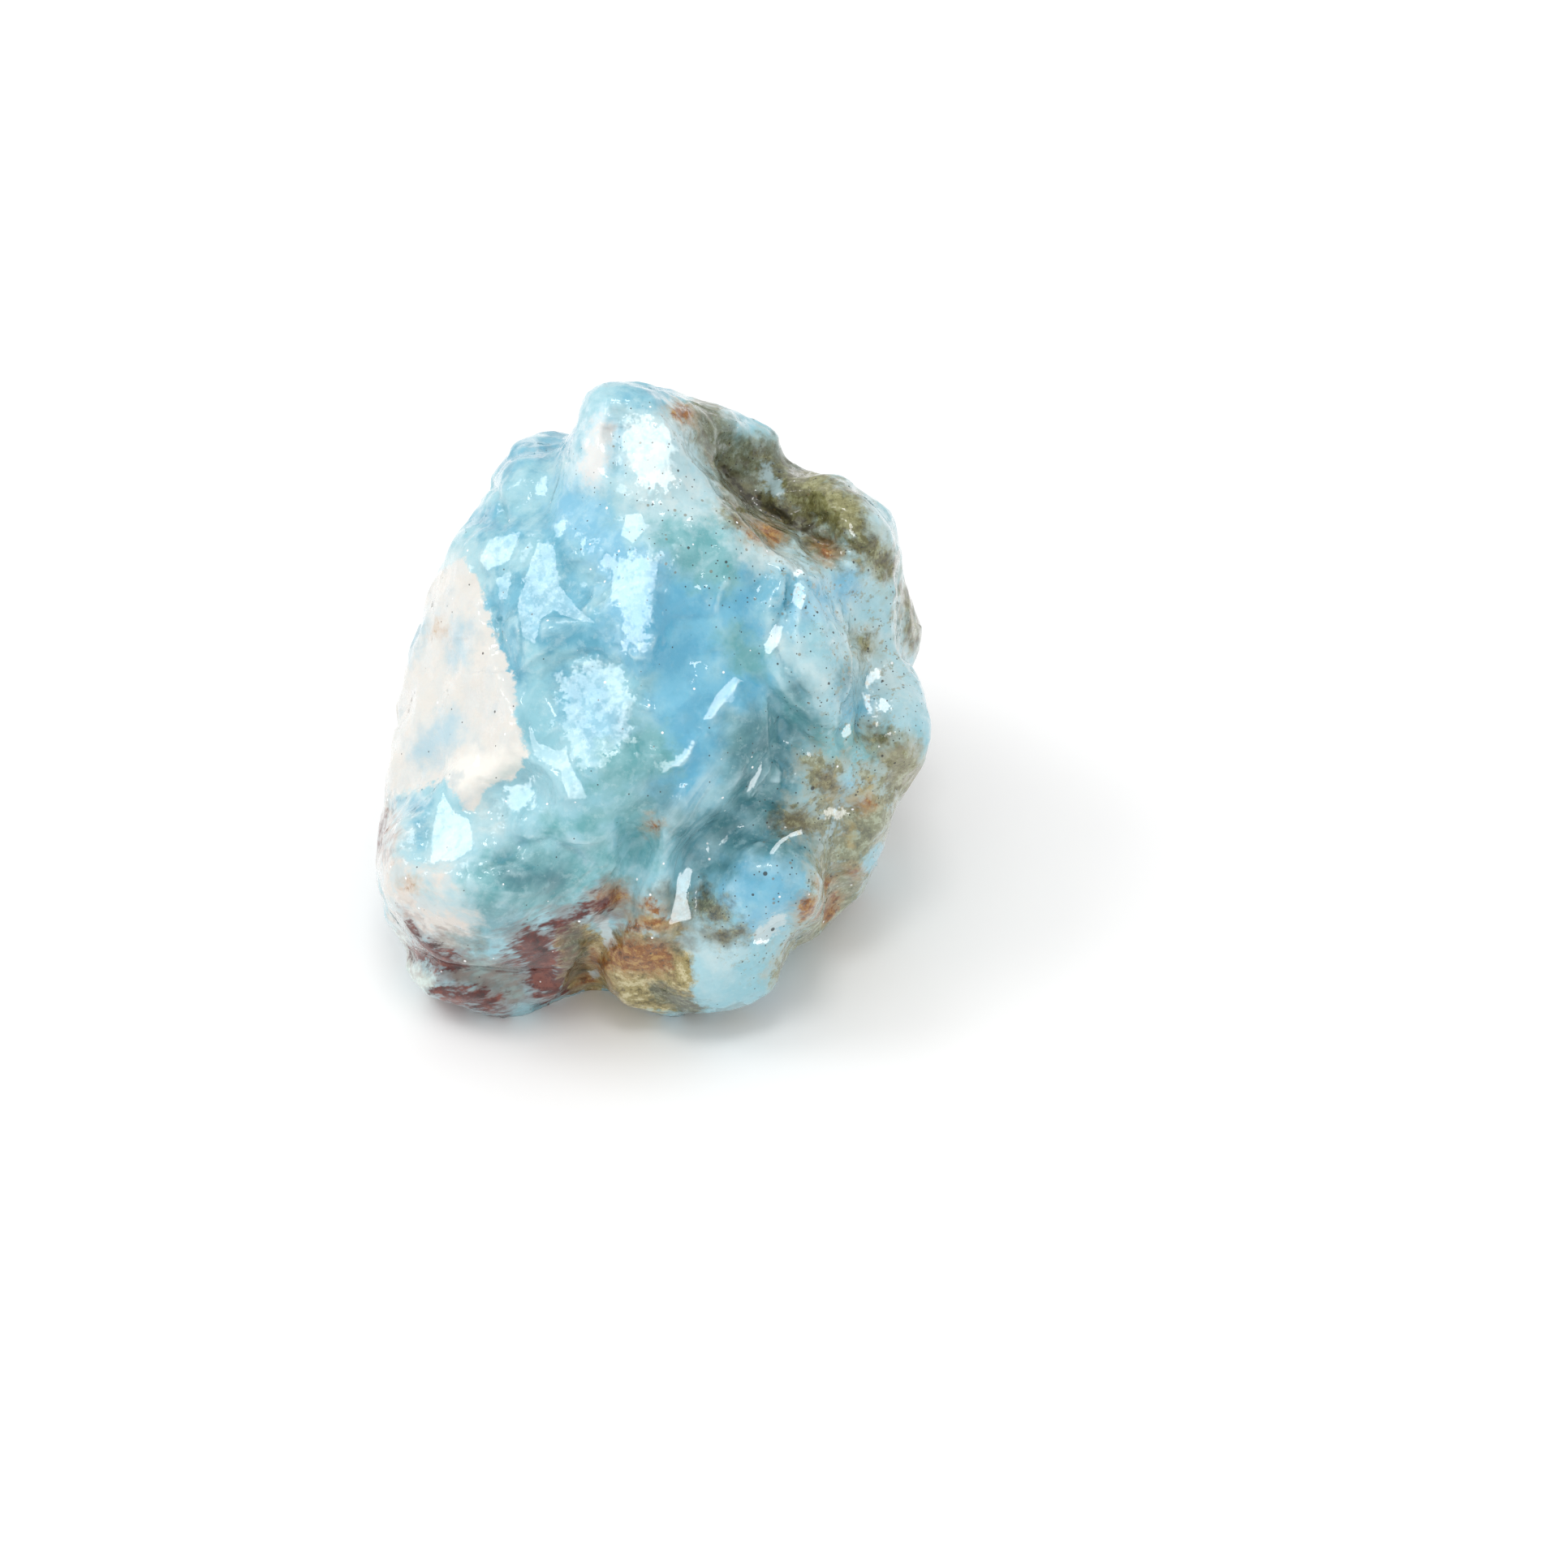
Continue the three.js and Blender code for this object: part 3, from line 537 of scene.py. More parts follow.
deep_amount = grown("deep_blue", deep_blue, wander=1.1, size=2.2, soft=1.3, seed=12.0)
colour = laid_over(colour, deep_amount,
                   mottled(paint(90, 169, 200), paint(110, 183, 210), size=1.8, seed=15.0))

# Sea green and slate grey, where the rock is less pure.
teal = spread([
    (0.9, [(5.6, 3.8), (6.2, 2.2)]), (1.2, [(10.6, -2.4), (13.0, -3.4)]),
    (1.9, [(-10.2, -11.6), (-8.0, -12.0), (-5.4, -11.6)]), (1.1, [(-3.6, -9.6), (-2.6, -11.6)]),
    (1.2, [(-1.2, -7.0), (-1.0, -9.4)]), (1.6, [(1.6, 10.6), (3.4, 9.8), (4.2, 8.4)]),
    (1.9, [(-2.2, -4.6), (-0.4, -3.4)]), (0.8, [(-6.8, -8.6), (-2.4, -7.4)]),
    (0.8, [(-5.6, -10.2), (-4.2, -11.0)]), (0.6, [(8.6, -0.4), (9.6, -2.0)])],
    behind=(6.0, 0.2, 44.0))
colour = laid_over(colour, grown("teal", teal, wander=1.0, size=1.6, soft=1.0, seed=17.0),
                   mottled(paint(98, 166, 172), paint(122, 181, 187), size=1.3, seed=19.0))
slate = spread([
    (2.3, [(6.6, -3.0), (7.6, -4.2), (7.0, -6.0)]), (1.2, [(5.6, -2.6), (5.8, -4.4)]),
    (1.0, [(0.6, -6.8), (1.6, -7.6), (2.0, -8.8)]), (0.5, [(9.2, 0.6), (10.2, -1.4)]),
    (1.2, [(8.0, -9.2), (9.4, -9.6)]), (1.4, [(4.4, -8.4), (6.8, -9.2)]),
    (0.9, [(-9.4, -11.2), (-6.6, -11.6)]), (0.6, [(-11.0, -14.2), (-9.4, -14.4)]),
    (1.4, [(6.6, -6.6), (7.2, -8.4)]), (0.6, [(3.2, -10.6), (4.6, -10.8)]),
    (0.5, [(7.4, -1.4), (8.8, -2.0)]), (0.4, [(12.6, 1.6), (12.7, 1.0)])],
    behind=(5.0, 0.3, 54.0))
colour = laid_over(colour, grown("slate", slate, wander=0.7, size=1.8, soft=1.5, seed=25.0),
                   mottled(paint(66, 122, 132), paint(86, 139, 146), size=1.5, seed=27.0))

# Pale fibres run down the valley and under the left bulge.
fibrous = spread([
    (2.0, [(3.0, -6.4), (1.6, -8.4), (0.0, -11.0), (-1.4, -13.4)]),
    (1.6, [(-15.0, -13.6), (-10.0, -14.4), (-5.6, -13.6), (-3.0, -10.6)])],
    behind=(7.0, 0.1, 64.0))
fibres = between(cloud(0.6, 3, seed=31.0, stretch=(11.0, 1, 1), turn=54, warp=0.5), 0.45, 0.7)
fibres = maths("MULTIPLY", fibres, between(at_points("fibrous", fibrous), -1.5, 1.5, to_high=0.24))
colour = laid_over(colour, fibres, paint(202, 222, 226))

# Broken edges are paler than the stone, as worn edges are, and its hollows are painted darker, as painted
# shade.
even = smoothed(points_of(skin_mesh), rounds=14)
hollow = ((even - points_of(skin_mesh)) * normals_of(skin_mesh)).sum(1) * MILLIMETRES
hollow = at_points("hollow", hollow)
# Painted shade: the hollows are darkened towards a deeper blue.
colour = laid_over(colour, between(hollow, 0.02, 0.16, to_high=0.5), paint(84, 156, 176))
colour = laid_over(colour, between(hollow, -0.02, -0.14, to_high=0.5), paint(194, 224, 230))

# Milky wisps and pale curds, a millimetre or so across, all through the stone, and fewest in the deep blue.
milkiness = maths("MULTIPLY_ADD", deep_amount, -0.75, 1.0)
wisps = cloud(1.9, 5, seed=35.0, stretch=(2.0, 1, 1), turn=35, warp=0.6, rough=0.62)
wisps = between(wisps, 0.5, 0.7, to_high=0.3)
colour = laid_over(colour, maths("MULTIPLY", wisps, milkiness), paint(186, 221, 228))
curds = between(cloud(0.6, 4, seed=37.0, rough=0.7), 0.52, 0.68, to_high=0.22)
colour = laid_over(colour, maths("MULTIPLY", curds, milkiness), paint(202, 229, 233))
murk = between(cloud(0.8, 5, seed=39.0, rough=0.65), 0.54, 0.7, to_high=0.18)
colour = laid_over(colour, murk, paint(104, 158, 170))


# ---------------------------------------------------------------- calcite crust
# Cream calcite grew against the wall of the vein. It stays as a thin matt crust on the left of the face,
# with blue windows in it, as a pale flake on the head, and as pinkish skin low on the left.

CRUST_EDGE = [
    (-12.4, 9.3), (-11.2, 7.5), (-10.7, 5.0), (-9.9, 3.2), (-9.0, 1.2), (-9.1, -0.9), (-8.2, -3.6),
    (-9.0, -4.8), (-10.6, -5.5), (-11.9, -7.2), (-12.7, -6.7), (-13.4, -5.1), (-16.1, -5.9), (-20.0, -7.0),
    (-20.0, 2.0), (-14.9, 7.9)]
crust_behind = spread([], behind=(9.0, 0.2, 43.0))
crust = within(face, CRUST_EDGE) * in_front + crust_behind * (1 - in_front)
crust_paint = mottled(paint(216, 217, 213), paint(221, 218, 211), size=1.6, seed=44.0)
white_crust = spread([(1.1, [(-12.2, -4.6), (-9.0, -4.2)])])
white_amount = grown("white_crust", white_crust, wander=0.5, size=1.1, soft=0.9, seed=48.0)
crust_paint = laid_over(crust_paint, white_amount, paint(238, 235, 227))
thin_crust = between(cloud(2.4, 5, seed=45.0), 0.56, 0.7, to_high=0.7)
crust_paint = laid_over(crust_paint, thin_crust, paint(194, 204, 206))
colour = laid_over(colour, grown("crust", crust, wander=0.32, size=0.8, soft=0.16, seed=41.0), crust_paint)
window = spread([
    (0.9, [(-14.9, -3.4), (-13.2, -1.6)]), (0.4, [(-15.9, 3.0), (-15.0, 5.4)]),
    (0.5, [(-12.4, 4.8), (-12.8, 2.8)])])
colour = laid_over(colour, grown("window", window, wander=0.5, size=1.2, soft=0.8, seed=47.0),
                   paint(178, 204, 213))
flake = spread([(0.7, [(-3.4, 17.5), (-4.1, 15.0)])])
colour = laid_over(colour, grown("flake_edge", flake + 0.5, wander=0.8, size=0.9, soft=0.8, seed=52.0),
                   paint(196, 224, 232))
colour = laid_over(colour, grown("flake", flake, wander=0.5, size=0.7, soft=0.5, seed=51.0),
                   paint(222, 224, 222))
pink_skin = spread([
    (1.4, [(-17.2, -11.0), (-15.8, -13.2), (-13.0, -14.6)]), (0.9, [(-17.8, -6.4), (-17.6, -10.0)]),
    (0.6, [(-15.6, -11.2), (-13.6, -11.8)])],
    behind=(6.0, 0.3, 74.0))
pink_amount = grown("pink_skin", pink_skin, wander=0.9, size=1.2, soft=0.9, seed=53.0,
                    stretch=(2.5, 1, 1), turn=-30)
colour = laid_over(colour, pink_amount,
                   mottled(paint(218, 212, 204), paint(200, 210, 210), size=1.0, seed=55.0))


# ---------------------------------------------------------------- host rock
# Weathered basalt still sticks to the stone: olive in the groove behind the brow, tan and grey down the right
# rim, and ochre in the arch between the feet. Each kind has a thin stain round it.

def rocky(dark, middle, light, size, seed):
    """One rock's three colours, in ragged grains about size across."""
    grit = cloud(size, 6, seed, rough=0.75)
    return laid_over(laid_over(light, between(grit, 0.4, 0.5), middle), between(grit, 0.52, 0.62), dark)


# The groove behind the brow.
olive = spread([
    (0.8, [(3.2, 18.6), (4.0, 16.6), (5.2, 14.6), (7.2, 12.8), (9.6, 11.8)]),
    (1.5, [(6.6, 15.2), (9.2, 14.0), (12.0, 12.2)]), (0.8, [(12.8, 11.4), (14.2, 9.6), (14.9, 8.8)]),
    (0.5, [(5.2, 12.7), (6.6, 11.6), (8.2, 10.9)]), (0.5, [(10.2, 10.4), (11.6, 9.7)]),
    (0.5, [(16.4, 7.0), (17.0, 4.0)]), (0.5, [(14.2, -2.2), (15.4, -2.9)]),
    (0.9, [(15.8, -3.4), (16.6, -5.2)]), (0.25, [(13.4, 4.0), (13.8, 3.2)])],
    behind=(7.0, 0.3, 94.0))
olive_paint = rocky(paint(66, 62, 28), paint(98, 96, 54), paint(142, 144, 104), size=0.7, seed=63.0)
colour = laid_over(colour, grown("olive_stain", olive + 0.5, wander=0.8, size=1.0, soft=1.0, seed=60.0),
                   laid_over(colour, 0.55, paint(162, 166, 140)))
colour = laid_over(colour, grown("olive", olive + 0.1, wander=0.7, size=0.9, soft=0.7, seed=61.0),
                   olive_paint)
grey_olive = spread([(1.3, [(3.4, 18.2), (4.8, 16.2), (6.4, 14.8)]), (0.7, [(7.6, 16.4), (8.8, 15.4)])])
grey_amount = grown("grey_olive", grey_olive, wander=0.8, size=0.9, soft=0.7, seed=163.0)
colour = laid_over(colour, some_of(grey_amount, 0.7),
                   rocky(paint(76, 80, 62), paint(106, 116, 98), paint(150, 164, 154), size=0.7, seed=164.0))
light_olive = spread([(0.8, [(10.4, 14.0), (12.4, 12.4)])])
colour = laid_over(colour, grown("light_olive", light_olive, wander=0.6, size=0.8, soft=0.6, seed=65.0),
                   rocky(paint(98, 96, 52), paint(134, 132, 84), paint(162, 162, 120), size=0.6, seed=64.0))
olive_window = spread([(0.45, [(7.3, 15.0), (7.8, 13.7)])])
colour = laid_over(colour, grown("olive_window", olive_window, wander=0.5, size=0.7, soft=0.3, seed=62.0),
                   paint(160, 184, 186))

# The right rim, and the fine dust that comes off it.
tan = spread([
    (0.8, [(16.2, -4.0), (14.8, -7.0)]), (1.2, [(14.6, -7.4), (13.0, -10.4), (11.8, -13.0)]),
    (0.8, [(11.8, -13.0), (10.0, -15.8), (8.4, -17.8)]), (0.7, [(11.0, -6.8), (11.2, -7.6)]),
    (0.9, [(12.9, -7.6), (11.8, -9.8)]), (0.5, [(10.2, -4.0), (11.3, -5.6)]), (0.4, [(11.9, -4.2)]),
    (0.5, [(13.7, -4.8), (14.4, -6.2)]), (0.6, [(9.0, -7.6), (10.6, -8.0)]),
    (0.5, [(11.0, -10.6), (11.2, -11.4)])],
    behind=(6.0, 0.34, 104.0))
tan_paint = rocky(paint(96, 92, 58), paint(132, 131, 94), paint(172, 178, 148), size=0.7, seed=69.0)
colour = laid_over(colour, grown("tan_stain", tan + 0.6, wander=0.8, size=1.1, soft=0.7, seed=66.0),
                   laid_over(colour, 0.5, paint(176, 172, 150)))
tan_amount = grown("tan", tan, wander=1.0, size=0.7, soft=0.4, seed=67.0)
colour = laid_over(colour, some_of(tan_amount, 0.85), tan_paint)
dusted = spread([
    (3.2, [(9.6, 9.6), (13.4, 5.6), (14.4, 1.0), (12.4, -5.0)]), (1.6, [(11.8, -9.0), (10.4, -14.0)]),
    (1.4, [(4.0, -14.6), (6.0, -17.0)])],
    behind=(8.0, 0.2, 154.0))
dust = maths("MULTIPLY", between(cloud(0.5, 7, seed=155.0, rough=0.75), 0.56, 0.6, to_high=0.6),
             between(at_points("dusted", dusted), -1.0, 2.0))
colour = laid_over(colour, dust, mottled(paint(136, 134, 104), paint(164, 150, 112), size=0.8, seed=156.0))

# The arch between the feet.
ochre = spread([
    (2.6, [(-3.6, -17.6), (0.0, -17.8)]), (1.2, [(-5.2, -15.6), (-5.0, -17.4)]),
    (0.4, [(-0.8, -14.3), (1.6, -14.8)])])
colour = laid_over(colour, grown("ochre", ochre, wander=0.4, size=0.9, soft=0.3, seed=71.0),
                   rocky(paint(104, 92, 48), paint(156, 142, 88), paint(202, 192, 150), size=0.7, seed=73.0))
grey_green = spread([
    (0.9, [(-5.3, -15.2), (-5.0, -17.2)]), (0.5, [(-2.6, -15.4), (1.2, -16.0)]),
    (0.6, [(0.2, -18.8), (1.2, -19.4), (2.6, -20.0)])])
colour = laid_over(colour, grown("grey_green", grey_green, wander=0.4, size=0.7, soft=0.4, seed=75.0),
                   rocky(paint(58, 60, 38), paint(90, 92, 64), paint(136, 140, 114), size=0.6, seed=76.0))

# Grey silt round the feet, clean spots that broke off later, a painted reflection low on the right, and a
# straw yellow stain on the rim.
silt = spread([
    (0.9, [(-2.6, -12.4), (-1.4, -13.8)]), (0.5, [(1.8, -14.8), (4.6, -15.4)]),
    (0.8, [(0.6, -12.6), (1.2, -13.8)]), (1.2, [(-12.0, -17.6), (-9.4, -18.4)]),
    (0.5, [(-13.6, -15.6), (-11.6, -15.9)]), (0.5, [(0.8, -15.2), (2.4, -15.4)])])
silt_amount = grown("silt", silt, wander=0.5, size=0.9, soft=0.6, seed=157.0)
colour = laid_over(colour, some_of(silt_amount, 0.7),
                   mottled(paint(104, 106, 92), paint(136, 140, 126), size=0.7, seed=158.0))
pale_foot = spread([(0.7, [(-16.6, -15.4), (-16.2, -17.0), (-15.0, -18.4)])])
colour = laid_over(colour, grown("pale_foot", pale_foot, wander=0.4, size=0.9, soft=0.5, seed=159.0),
                   paint(210, 225, 218))
rim_window = spread([(0.5, [(13.9, -10.5), (14.7, -9.9)])])
colour = laid_over(colour, grown("rim_window", rim_window, wander=0.4, size=0.8, soft=0.4, seed=160.0),
                   paint(150, 198, 212))
straw = spread([
    (0.4, [(11.2, -5.0), (11.8, -6.4)]), (0.45, [(13.0, -6.2), (14.0, -5.8)]),
    (0.3, [(12.8, -8.4), (12.6, -9.4)])])
straw_amount = grown("straw", straw, wander=0.6, size=0.7, soft=0.4, seed=161.0)
colour = laid_over(colour, some_of(straw_amount, 0.6),
                   mottled(paint(168, 146, 84), paint(190, 172, 122), size=0.6, seed=162.0))
# Pale crisp spots. The first, on a flat face low on the right, is a painted reflection; the others are clean
# spots that broke off later.
pale_sliver_and_painted_reflection = spread([
    (0.45, [(6.9, -15.4), (8.1, -14.2)]), (0.35, [(-3.5, -14.2), (-2.9, -15.4), (-2.7, -16.2)]),
    (0.3, [(-3.9, -17.7)])])
colour = laid_over(colour, grown("pale_sliver_and_painted_reflection", pale_sliver_and_painted_reflection, wander=0.2, size=0.6, soft=0.1, seed=78.0),
                   paint(196, 216, 220))

# Painted shade as a dark line along the bottom of the groove, with a darker band round it and dark basalt
# spots behind the stone, and brown earth in small pockets.
groove_shade_and_basalt = spread([
    (0.15, [(4.4, 15.0), (5.8, 13.4), (7.4, 12.3), (9.2, 11.4), (10.6, 10.6), (12.0, 9.7)]),
    (0.3, [(5.6, 13.4), (8.6, 11.8)]), (0.3, [(8.6, 11.6), (10.0, 11.2)]),
    (0.3, [(10.6, 10.7), (11.2, 10.2)])],
    behind=(3.0, 0.44, 84.0))
# A darker band round the groove's line, as painted shade.
colour = laid_over(colour, grown("groove_shade_and_basalt_edge", groove_shade_and_basalt + 0.4, wander=0.5, size=0.8, soft=0.6, seed=79.0),
                   laid_over(colour, 0.6, paint(104, 100, 72)))
groove_shade_and_basalt_amount = grown("groove_shade_and_basalt", groove_shade_and_basalt, wander=0.45, size=0.5, soft=0.25, seed=77.0,
                    stretch=(2.0, 1, 1), turn=-38)
colour = laid_over(colour, groove_shade_and_basalt_amount, paint(60, 56, 38))
brown = spread([
    (0.7, [(8.4, -7.9), (9.4, -7.8)]), (0.9, [(3.0, -13.1), (4.1, -13.8)]), (0.5, [(5.4, 11.8), (8.0, 10.9)]),
    (0.4, [(10.6, 10.1), (11.4, 9.7)]), (0.5, [(10.8, -4.9), (11.6, -5.8)]),
    (0.5, [(4.4, -15.2), (5.6, -15.0)])],
    behind=(4.0, 0.4, 144.0))
brown_amount = grown("brown", brown, wander=0.6, size=0.8, soft=0.8, seed=146.0)
colour = laid_over(colour, some_of(brown_amount, 0.9),
                   rocky(paint(54, 48, 24), paint(96, 88, 52), paint(138, 136, 98), size=0.55, seed=145.0))


# ---------------------------------------------------------------- iron stains
# Iron from the basalt has run into the pectolite: orange rust in spots, and dark red hematite in feathery
# tongues low on the left. Each has a paler haze round it.

rust = spread([
    (0.4, [(6.6, 11.0), (7.6, 10.7)]), (0.4, [(1.5, 18.8), (2.0, 18.5)]), (0.15, [(10.9, 9.9), (11.2, 9.4)]),
    (0.8, [(10.2, -13.7), (11.3, -14.0)]), (0.4, [(11.2, -11.9), (11.5, -12.9)]), (0.15, [(12.9, -11.2)]),
    (0.5, [(-3.8, -16.7), (-3.2, -17.2)]), (0.9, [(-2.2, -16.5), (0.2, -16.7)]),
    (0.4, [(-4.5, -18.3), (-3.4, -18.6)]), (0.4, [(-3.4, -13.1), (-2.4, -12.7)]),
    (0.2, [(-0.4, -13.2), (0.2, -13.7)]), (0.2, [(-0.1, -8.1)]), (0.3, [(13.8, -6.8)]),
    (0.25, [(-1.4, -14.7), (0.6, -14.4)]), (0.1, [(-15.9, -12.0)]), (0.02, [(-14.0, 4.6)])],
    behind=(2.6, 0.42, 114.0))
# Down the steep sides the rust comes and goes.
STEEP = (0.15, 0.45)
GAP_SIZE, GAP_DEPTH, GAPS = 3.0, 2.0, (-0.15, 0.2)
gaps = rise(soft_noise(face, GAP_SIZE, seed=7.7), *GAPS)
rust -= GAP_DEPTH * (1 - rise(outlook[:, 2], *STEEP)) * gaps
colour = laid_over(colour, grown("rust_stain", rust + 0.35, wander=0.5, size=0.7, soft=0.7, seed=80.0),
                   laid_over(colour, 0.5, paint(186, 146, 96)))
colour = laid_over(colour, grown("rust", rust, wander=0.4, size=0.5, soft=0.35, seed=81.0),
                   rocky(paint(84, 52, 18), paint(138, 84, 26), paint(176, 136, 70), size=0.6, seed=82.0))
hematite = spread([
    (1.2, [(-7.7, -16.0), (-7.4, -16.9), (-7.0, -18.3)]),
    (0.3, [(-6.9, -14.9), (-5.2, -14.0), (-4.0, -13.4)]),
    (0.35, [(-4.4, -13.5), (-3.2, -13.1)]), (0.4, [(-7.4, -18.6), (-6.0, -18.8)]),
    (0.65, [(-15.2, -16.2), (-13.0, -17.2)]), (0.05, [(-15.9, -14.6), (-14.9, -16.0)]),
    (0.6, [(-13.6, -19.1), (-11.4, -19.5), (-10.2, -19.7)]), (0.3, [(-9.6, -17.0), (-8.4, -17.2)]),
    (0.2, [(-17.9, -7.6), (-18.0, -9.2)])],
    behind=(4.0, 0.43, 124.0))
feathers = {"stretch": (3.0, 1, 1), "turn": 18}
haze_amount = grown("iron_haze", hematite + 0.6, wander=1.1, size=0.6, soft=1.0, seed=84.0, **feathers)
colour = laid_over(colour, haze_amount, laid_over(colour, 0.55, paint(126, 86, 72)))
red_amount = grown("hematite", hematite, wander=0.7, size=0.5, soft=0.35, seed=85.0, **feathers)
colour = laid_over(colour, red_amount,
                   rocky(paint(50, 10, 6), paint(86, 22, 12), paint(124, 60, 44), size=1.1, seed=87.0))


# ---------------------------------------------------------------- grains
# Black grains of ore and a few bright white ones sit all through the stone, thickest on the right. The bright
# white ones are calcite and also painted glints.

def grains(spacing, size, kept, seed):
    """1 in a scatter of round grains about size across, where each cell of spacing keeps one in some."""
    placed = node("ShaderNodeMapping", {
        "Vector": on_face, "Location": (seed, seed, seed), "Scale": (1 / spacing, 1 / spacing, 1 / spacing)})
    cells = node("ShaderNodeTexVoronoi", {"Vector": placed.outputs[0], "Scale": 1.0})
    chosen = maths("LESS_THAN", node("ShaderNodeSeparateColor", {0: cells.outputs["Color"]}).outputs[0], kept)
    inside = between(cells.outputs["Distance"], size / spacing / 2, size / spacing / 3)
    return maths("MULTIPLY", inside, chosen)


speckled = spread([
    (5.0, [(4.0, 12.0), (10.0, 9.0), (14.0, 3.0)]), (4.0, [(13.0, 0.0), (12.0, -8.0), (8.0, -15.0)]),
    (3.0, [(0.0, 15.0)])],
    behind=(9.0, 0.0, 134.0))
share_kept = between(at_points("speckled", speckled), -3.0, 2.0, to_low=0.05, to_high=0.5)
fewer_kept = maths("MULTIPLY", share_kept, 0.8)
only_thickest = maths("SUBTRACT", share_kept, 0.28)

# Fine, middling and coarse black grains, weathered brown ones, and the bright white ones: calcite grains and
# painted glints.
colour = laid_over(colour, some_of(grains(0.38, 0.13, share_kept, seed=3.0), 0.85), paint(34, 38, 36))
colour = laid_over(colour, some_of(grains(0.8, 0.22, fewer_kept, seed=9.0), 0.85), paint(28, 28, 24))
colour = laid_over(colour, some_of(grains(2.4, 0.34, share_kept, seed=5.0), 0.85), paint(30, 28, 22))
colour = laid_over(colour, some_of(grains(0.55, 0.24, only_thickest, seed=13.0), 0.6), paint(116, 98, 62))
# Painted glints: bright white dots that stand in for small sparkles on the wet film, and calcite grains.
colour = laid_over(colour, grains(0.9, 0.2, 0.22, seed=7.0), paint(250, 252, 252))


# ---------------------------------------------------------------- wet gloss
# The stone is shown wet, so a thin clear film lies over everything, with small drops standing on it, and
# rounds off the smallest roughness.

fine_bump = node("ShaderNodeBump", {
    "Height": cloud(0.3, 6, seed=91.0, rough=0.7), "Strength": 0.5, "Distance": 0.00007})
drops = maths("ADD", cloud(0.7, 3, seed=93.0), some_of(grains(1.1, 0.5, 0.3, seed=11.0), 0.5))
film_bump = node("ShaderNodeBump", {"Height": drops, "Strength": 0.35, "Distance": 0.00009})

# On the flat faces the film lies quite flat, up to a crisp edge, and elsewhere in small facets.
MOST_TURNED = 0.3
FURTHEST_BACK = -3
EDGE_SWING = 8.0
CRISP_EDGE = (-0.03, 0.05)
on_flat = np.full(len(face), FAR_OUTSIDE)
flat_way = np.tile(CATCH_LIGHT, (len(face), 1))
flat_ragged = np.zeros(len(face))
outward = normals_of(skin_mesh) @ FACE_AXES.T
for raggedness, lean, outline in FLAT_FACES:
    way = way_of(lean, outline)
    seen = (outward @ way > MOST_TURNED) & (face[:, 2] > FURTHEST_BACK)
    inside = np.where(seen, within(face, outline), FAR_OUTSIDE)
    flat_way[inside > on_flat] = way
    flat_ragged[inside > on_flat] = raggedness
    on_flat = np.maximum(on_flat, inside)
edge = maths("MULTIPLY_ADD", cloud(0.8, 8, seed=151.0, rough=0.7), EDGE_SWING, -0.5 * EDGE_SWING)
edge = maths("MULTIPLY_ADD", edge, at_points("flat_ragged", flat_ragged), at_points("on_flat", on_flat))
is_flat = between(edge, *CRISP_EDGE)

# The broken skin between the flat faces looks aside, so the flat ones stand out.
LOOKS_ASIDE = math.radians(14)
catching = CATCH_LIGHT - FARTHER_ROUND * face * (1, 1, 0)
catching /= np.linalg.norm(catching, axis=1)[:, None]
facing = (outward * catching).sum(1)
off_way = outward - facing[:, None] * catching
off_way /= np.maximum(np.linalg.norm(off_way, axis=1), 1e-6)[:, None]
aside = off_way * np.maximum(LOOKS_ASIDE - np.arccos(np.clip(facing, -1, 1)), 0)[:, None]


def vector_maths(operation, a, b):
    return node("ShaderNodeVectorMath", {0: a, 1: b}, operation=operation).outputs[0]


def leaning(texture, most):
    """A texture's colours as leans in every direction, of up to about most to either side."""
    to_either_side = vector_maths("SUBTRACT", texture.outputs["Color"], (0.5, 0.5, 0.5))
    return vector_maths("MULTIPLY", to_either_side, (2 * most,) * 3)


wandering = node("ShaderNodeTexNoise", {"Vector": on_face, "Scale": 1.3, "Detail": 5})
broken_place = vector_maths("ADD", on_face, wandering.outputs["Color"])
facets = node("ShaderNodeTexVoronoi", {"Vector": broken_place, "Scale": 0.9})
small_facets = node("ShaderNodeTexVoronoi", {"Vector": broken_place, "Scale": 2.6})
broken_film = vector_maths("ADD", film_bump.outputs[0], at_points("aside", aside @ FACE_AXES))
broken_film = vector_maths("ADD", broken_film, leaning(facets, 0.16))
broken_film = vector_maths("ADD", broken_film, leaning(small_facets, 0.05))
flat_film = node("ShaderNodeVectorTransform", {"Vector": at_points("flat_way", flat_way @ FACE_AXES)},
                 vector_type="NORMAL", convert_from="OBJECT", convert_to="WORLD").outputs[0]
ripples = node("ShaderNodeTexNoise", {"Vector": on_face, "Scale": 1.8, "Detail": 5, "Roughness": 0.65})
flat_film = vector_maths("ADD", flat_film, leaning(ripples, 0.09))
film = node("ShaderNodeMix", {0: is_flat, 4: broken_film, 5: flat_film}, data_type="VECTOR").outputs[1]
film = node("ShaderNodeVectorMath", {0: film}, operation="NORMALIZE").outputs[0]
wet = node("ShaderNodeBsdfPrincipled", {
    "Base Color": colour, "Roughness": 0.4, "IOR": 1.6, "Specular IOR Level": 0.15,
    "Normal": fine_bump.outputs[0],
    "Subsurface Weight": 0.08, "Subsurface Radius": (0.6, 1.0, 1.2), "Subsurface Scale": 0.0008,
    "Coat Weight": 1.0, "Coat Roughness": 0.035, "Coat IOR": 1.52, "Coat Normal": film})
node("ShaderNodeOutputMaterial", {"Surface": wet.outputs[0]})
skin_mesh.materials.append(stone_finish)

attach(stone, "root")
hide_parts("larimar")


# ---------------------------------------------------------------- tabletop and light
# A plain white tabletop in a white room. One softbox stands high on the left, where the flat faces look, and
# one overhead, where those down the right look. Each is hottest at its middle.

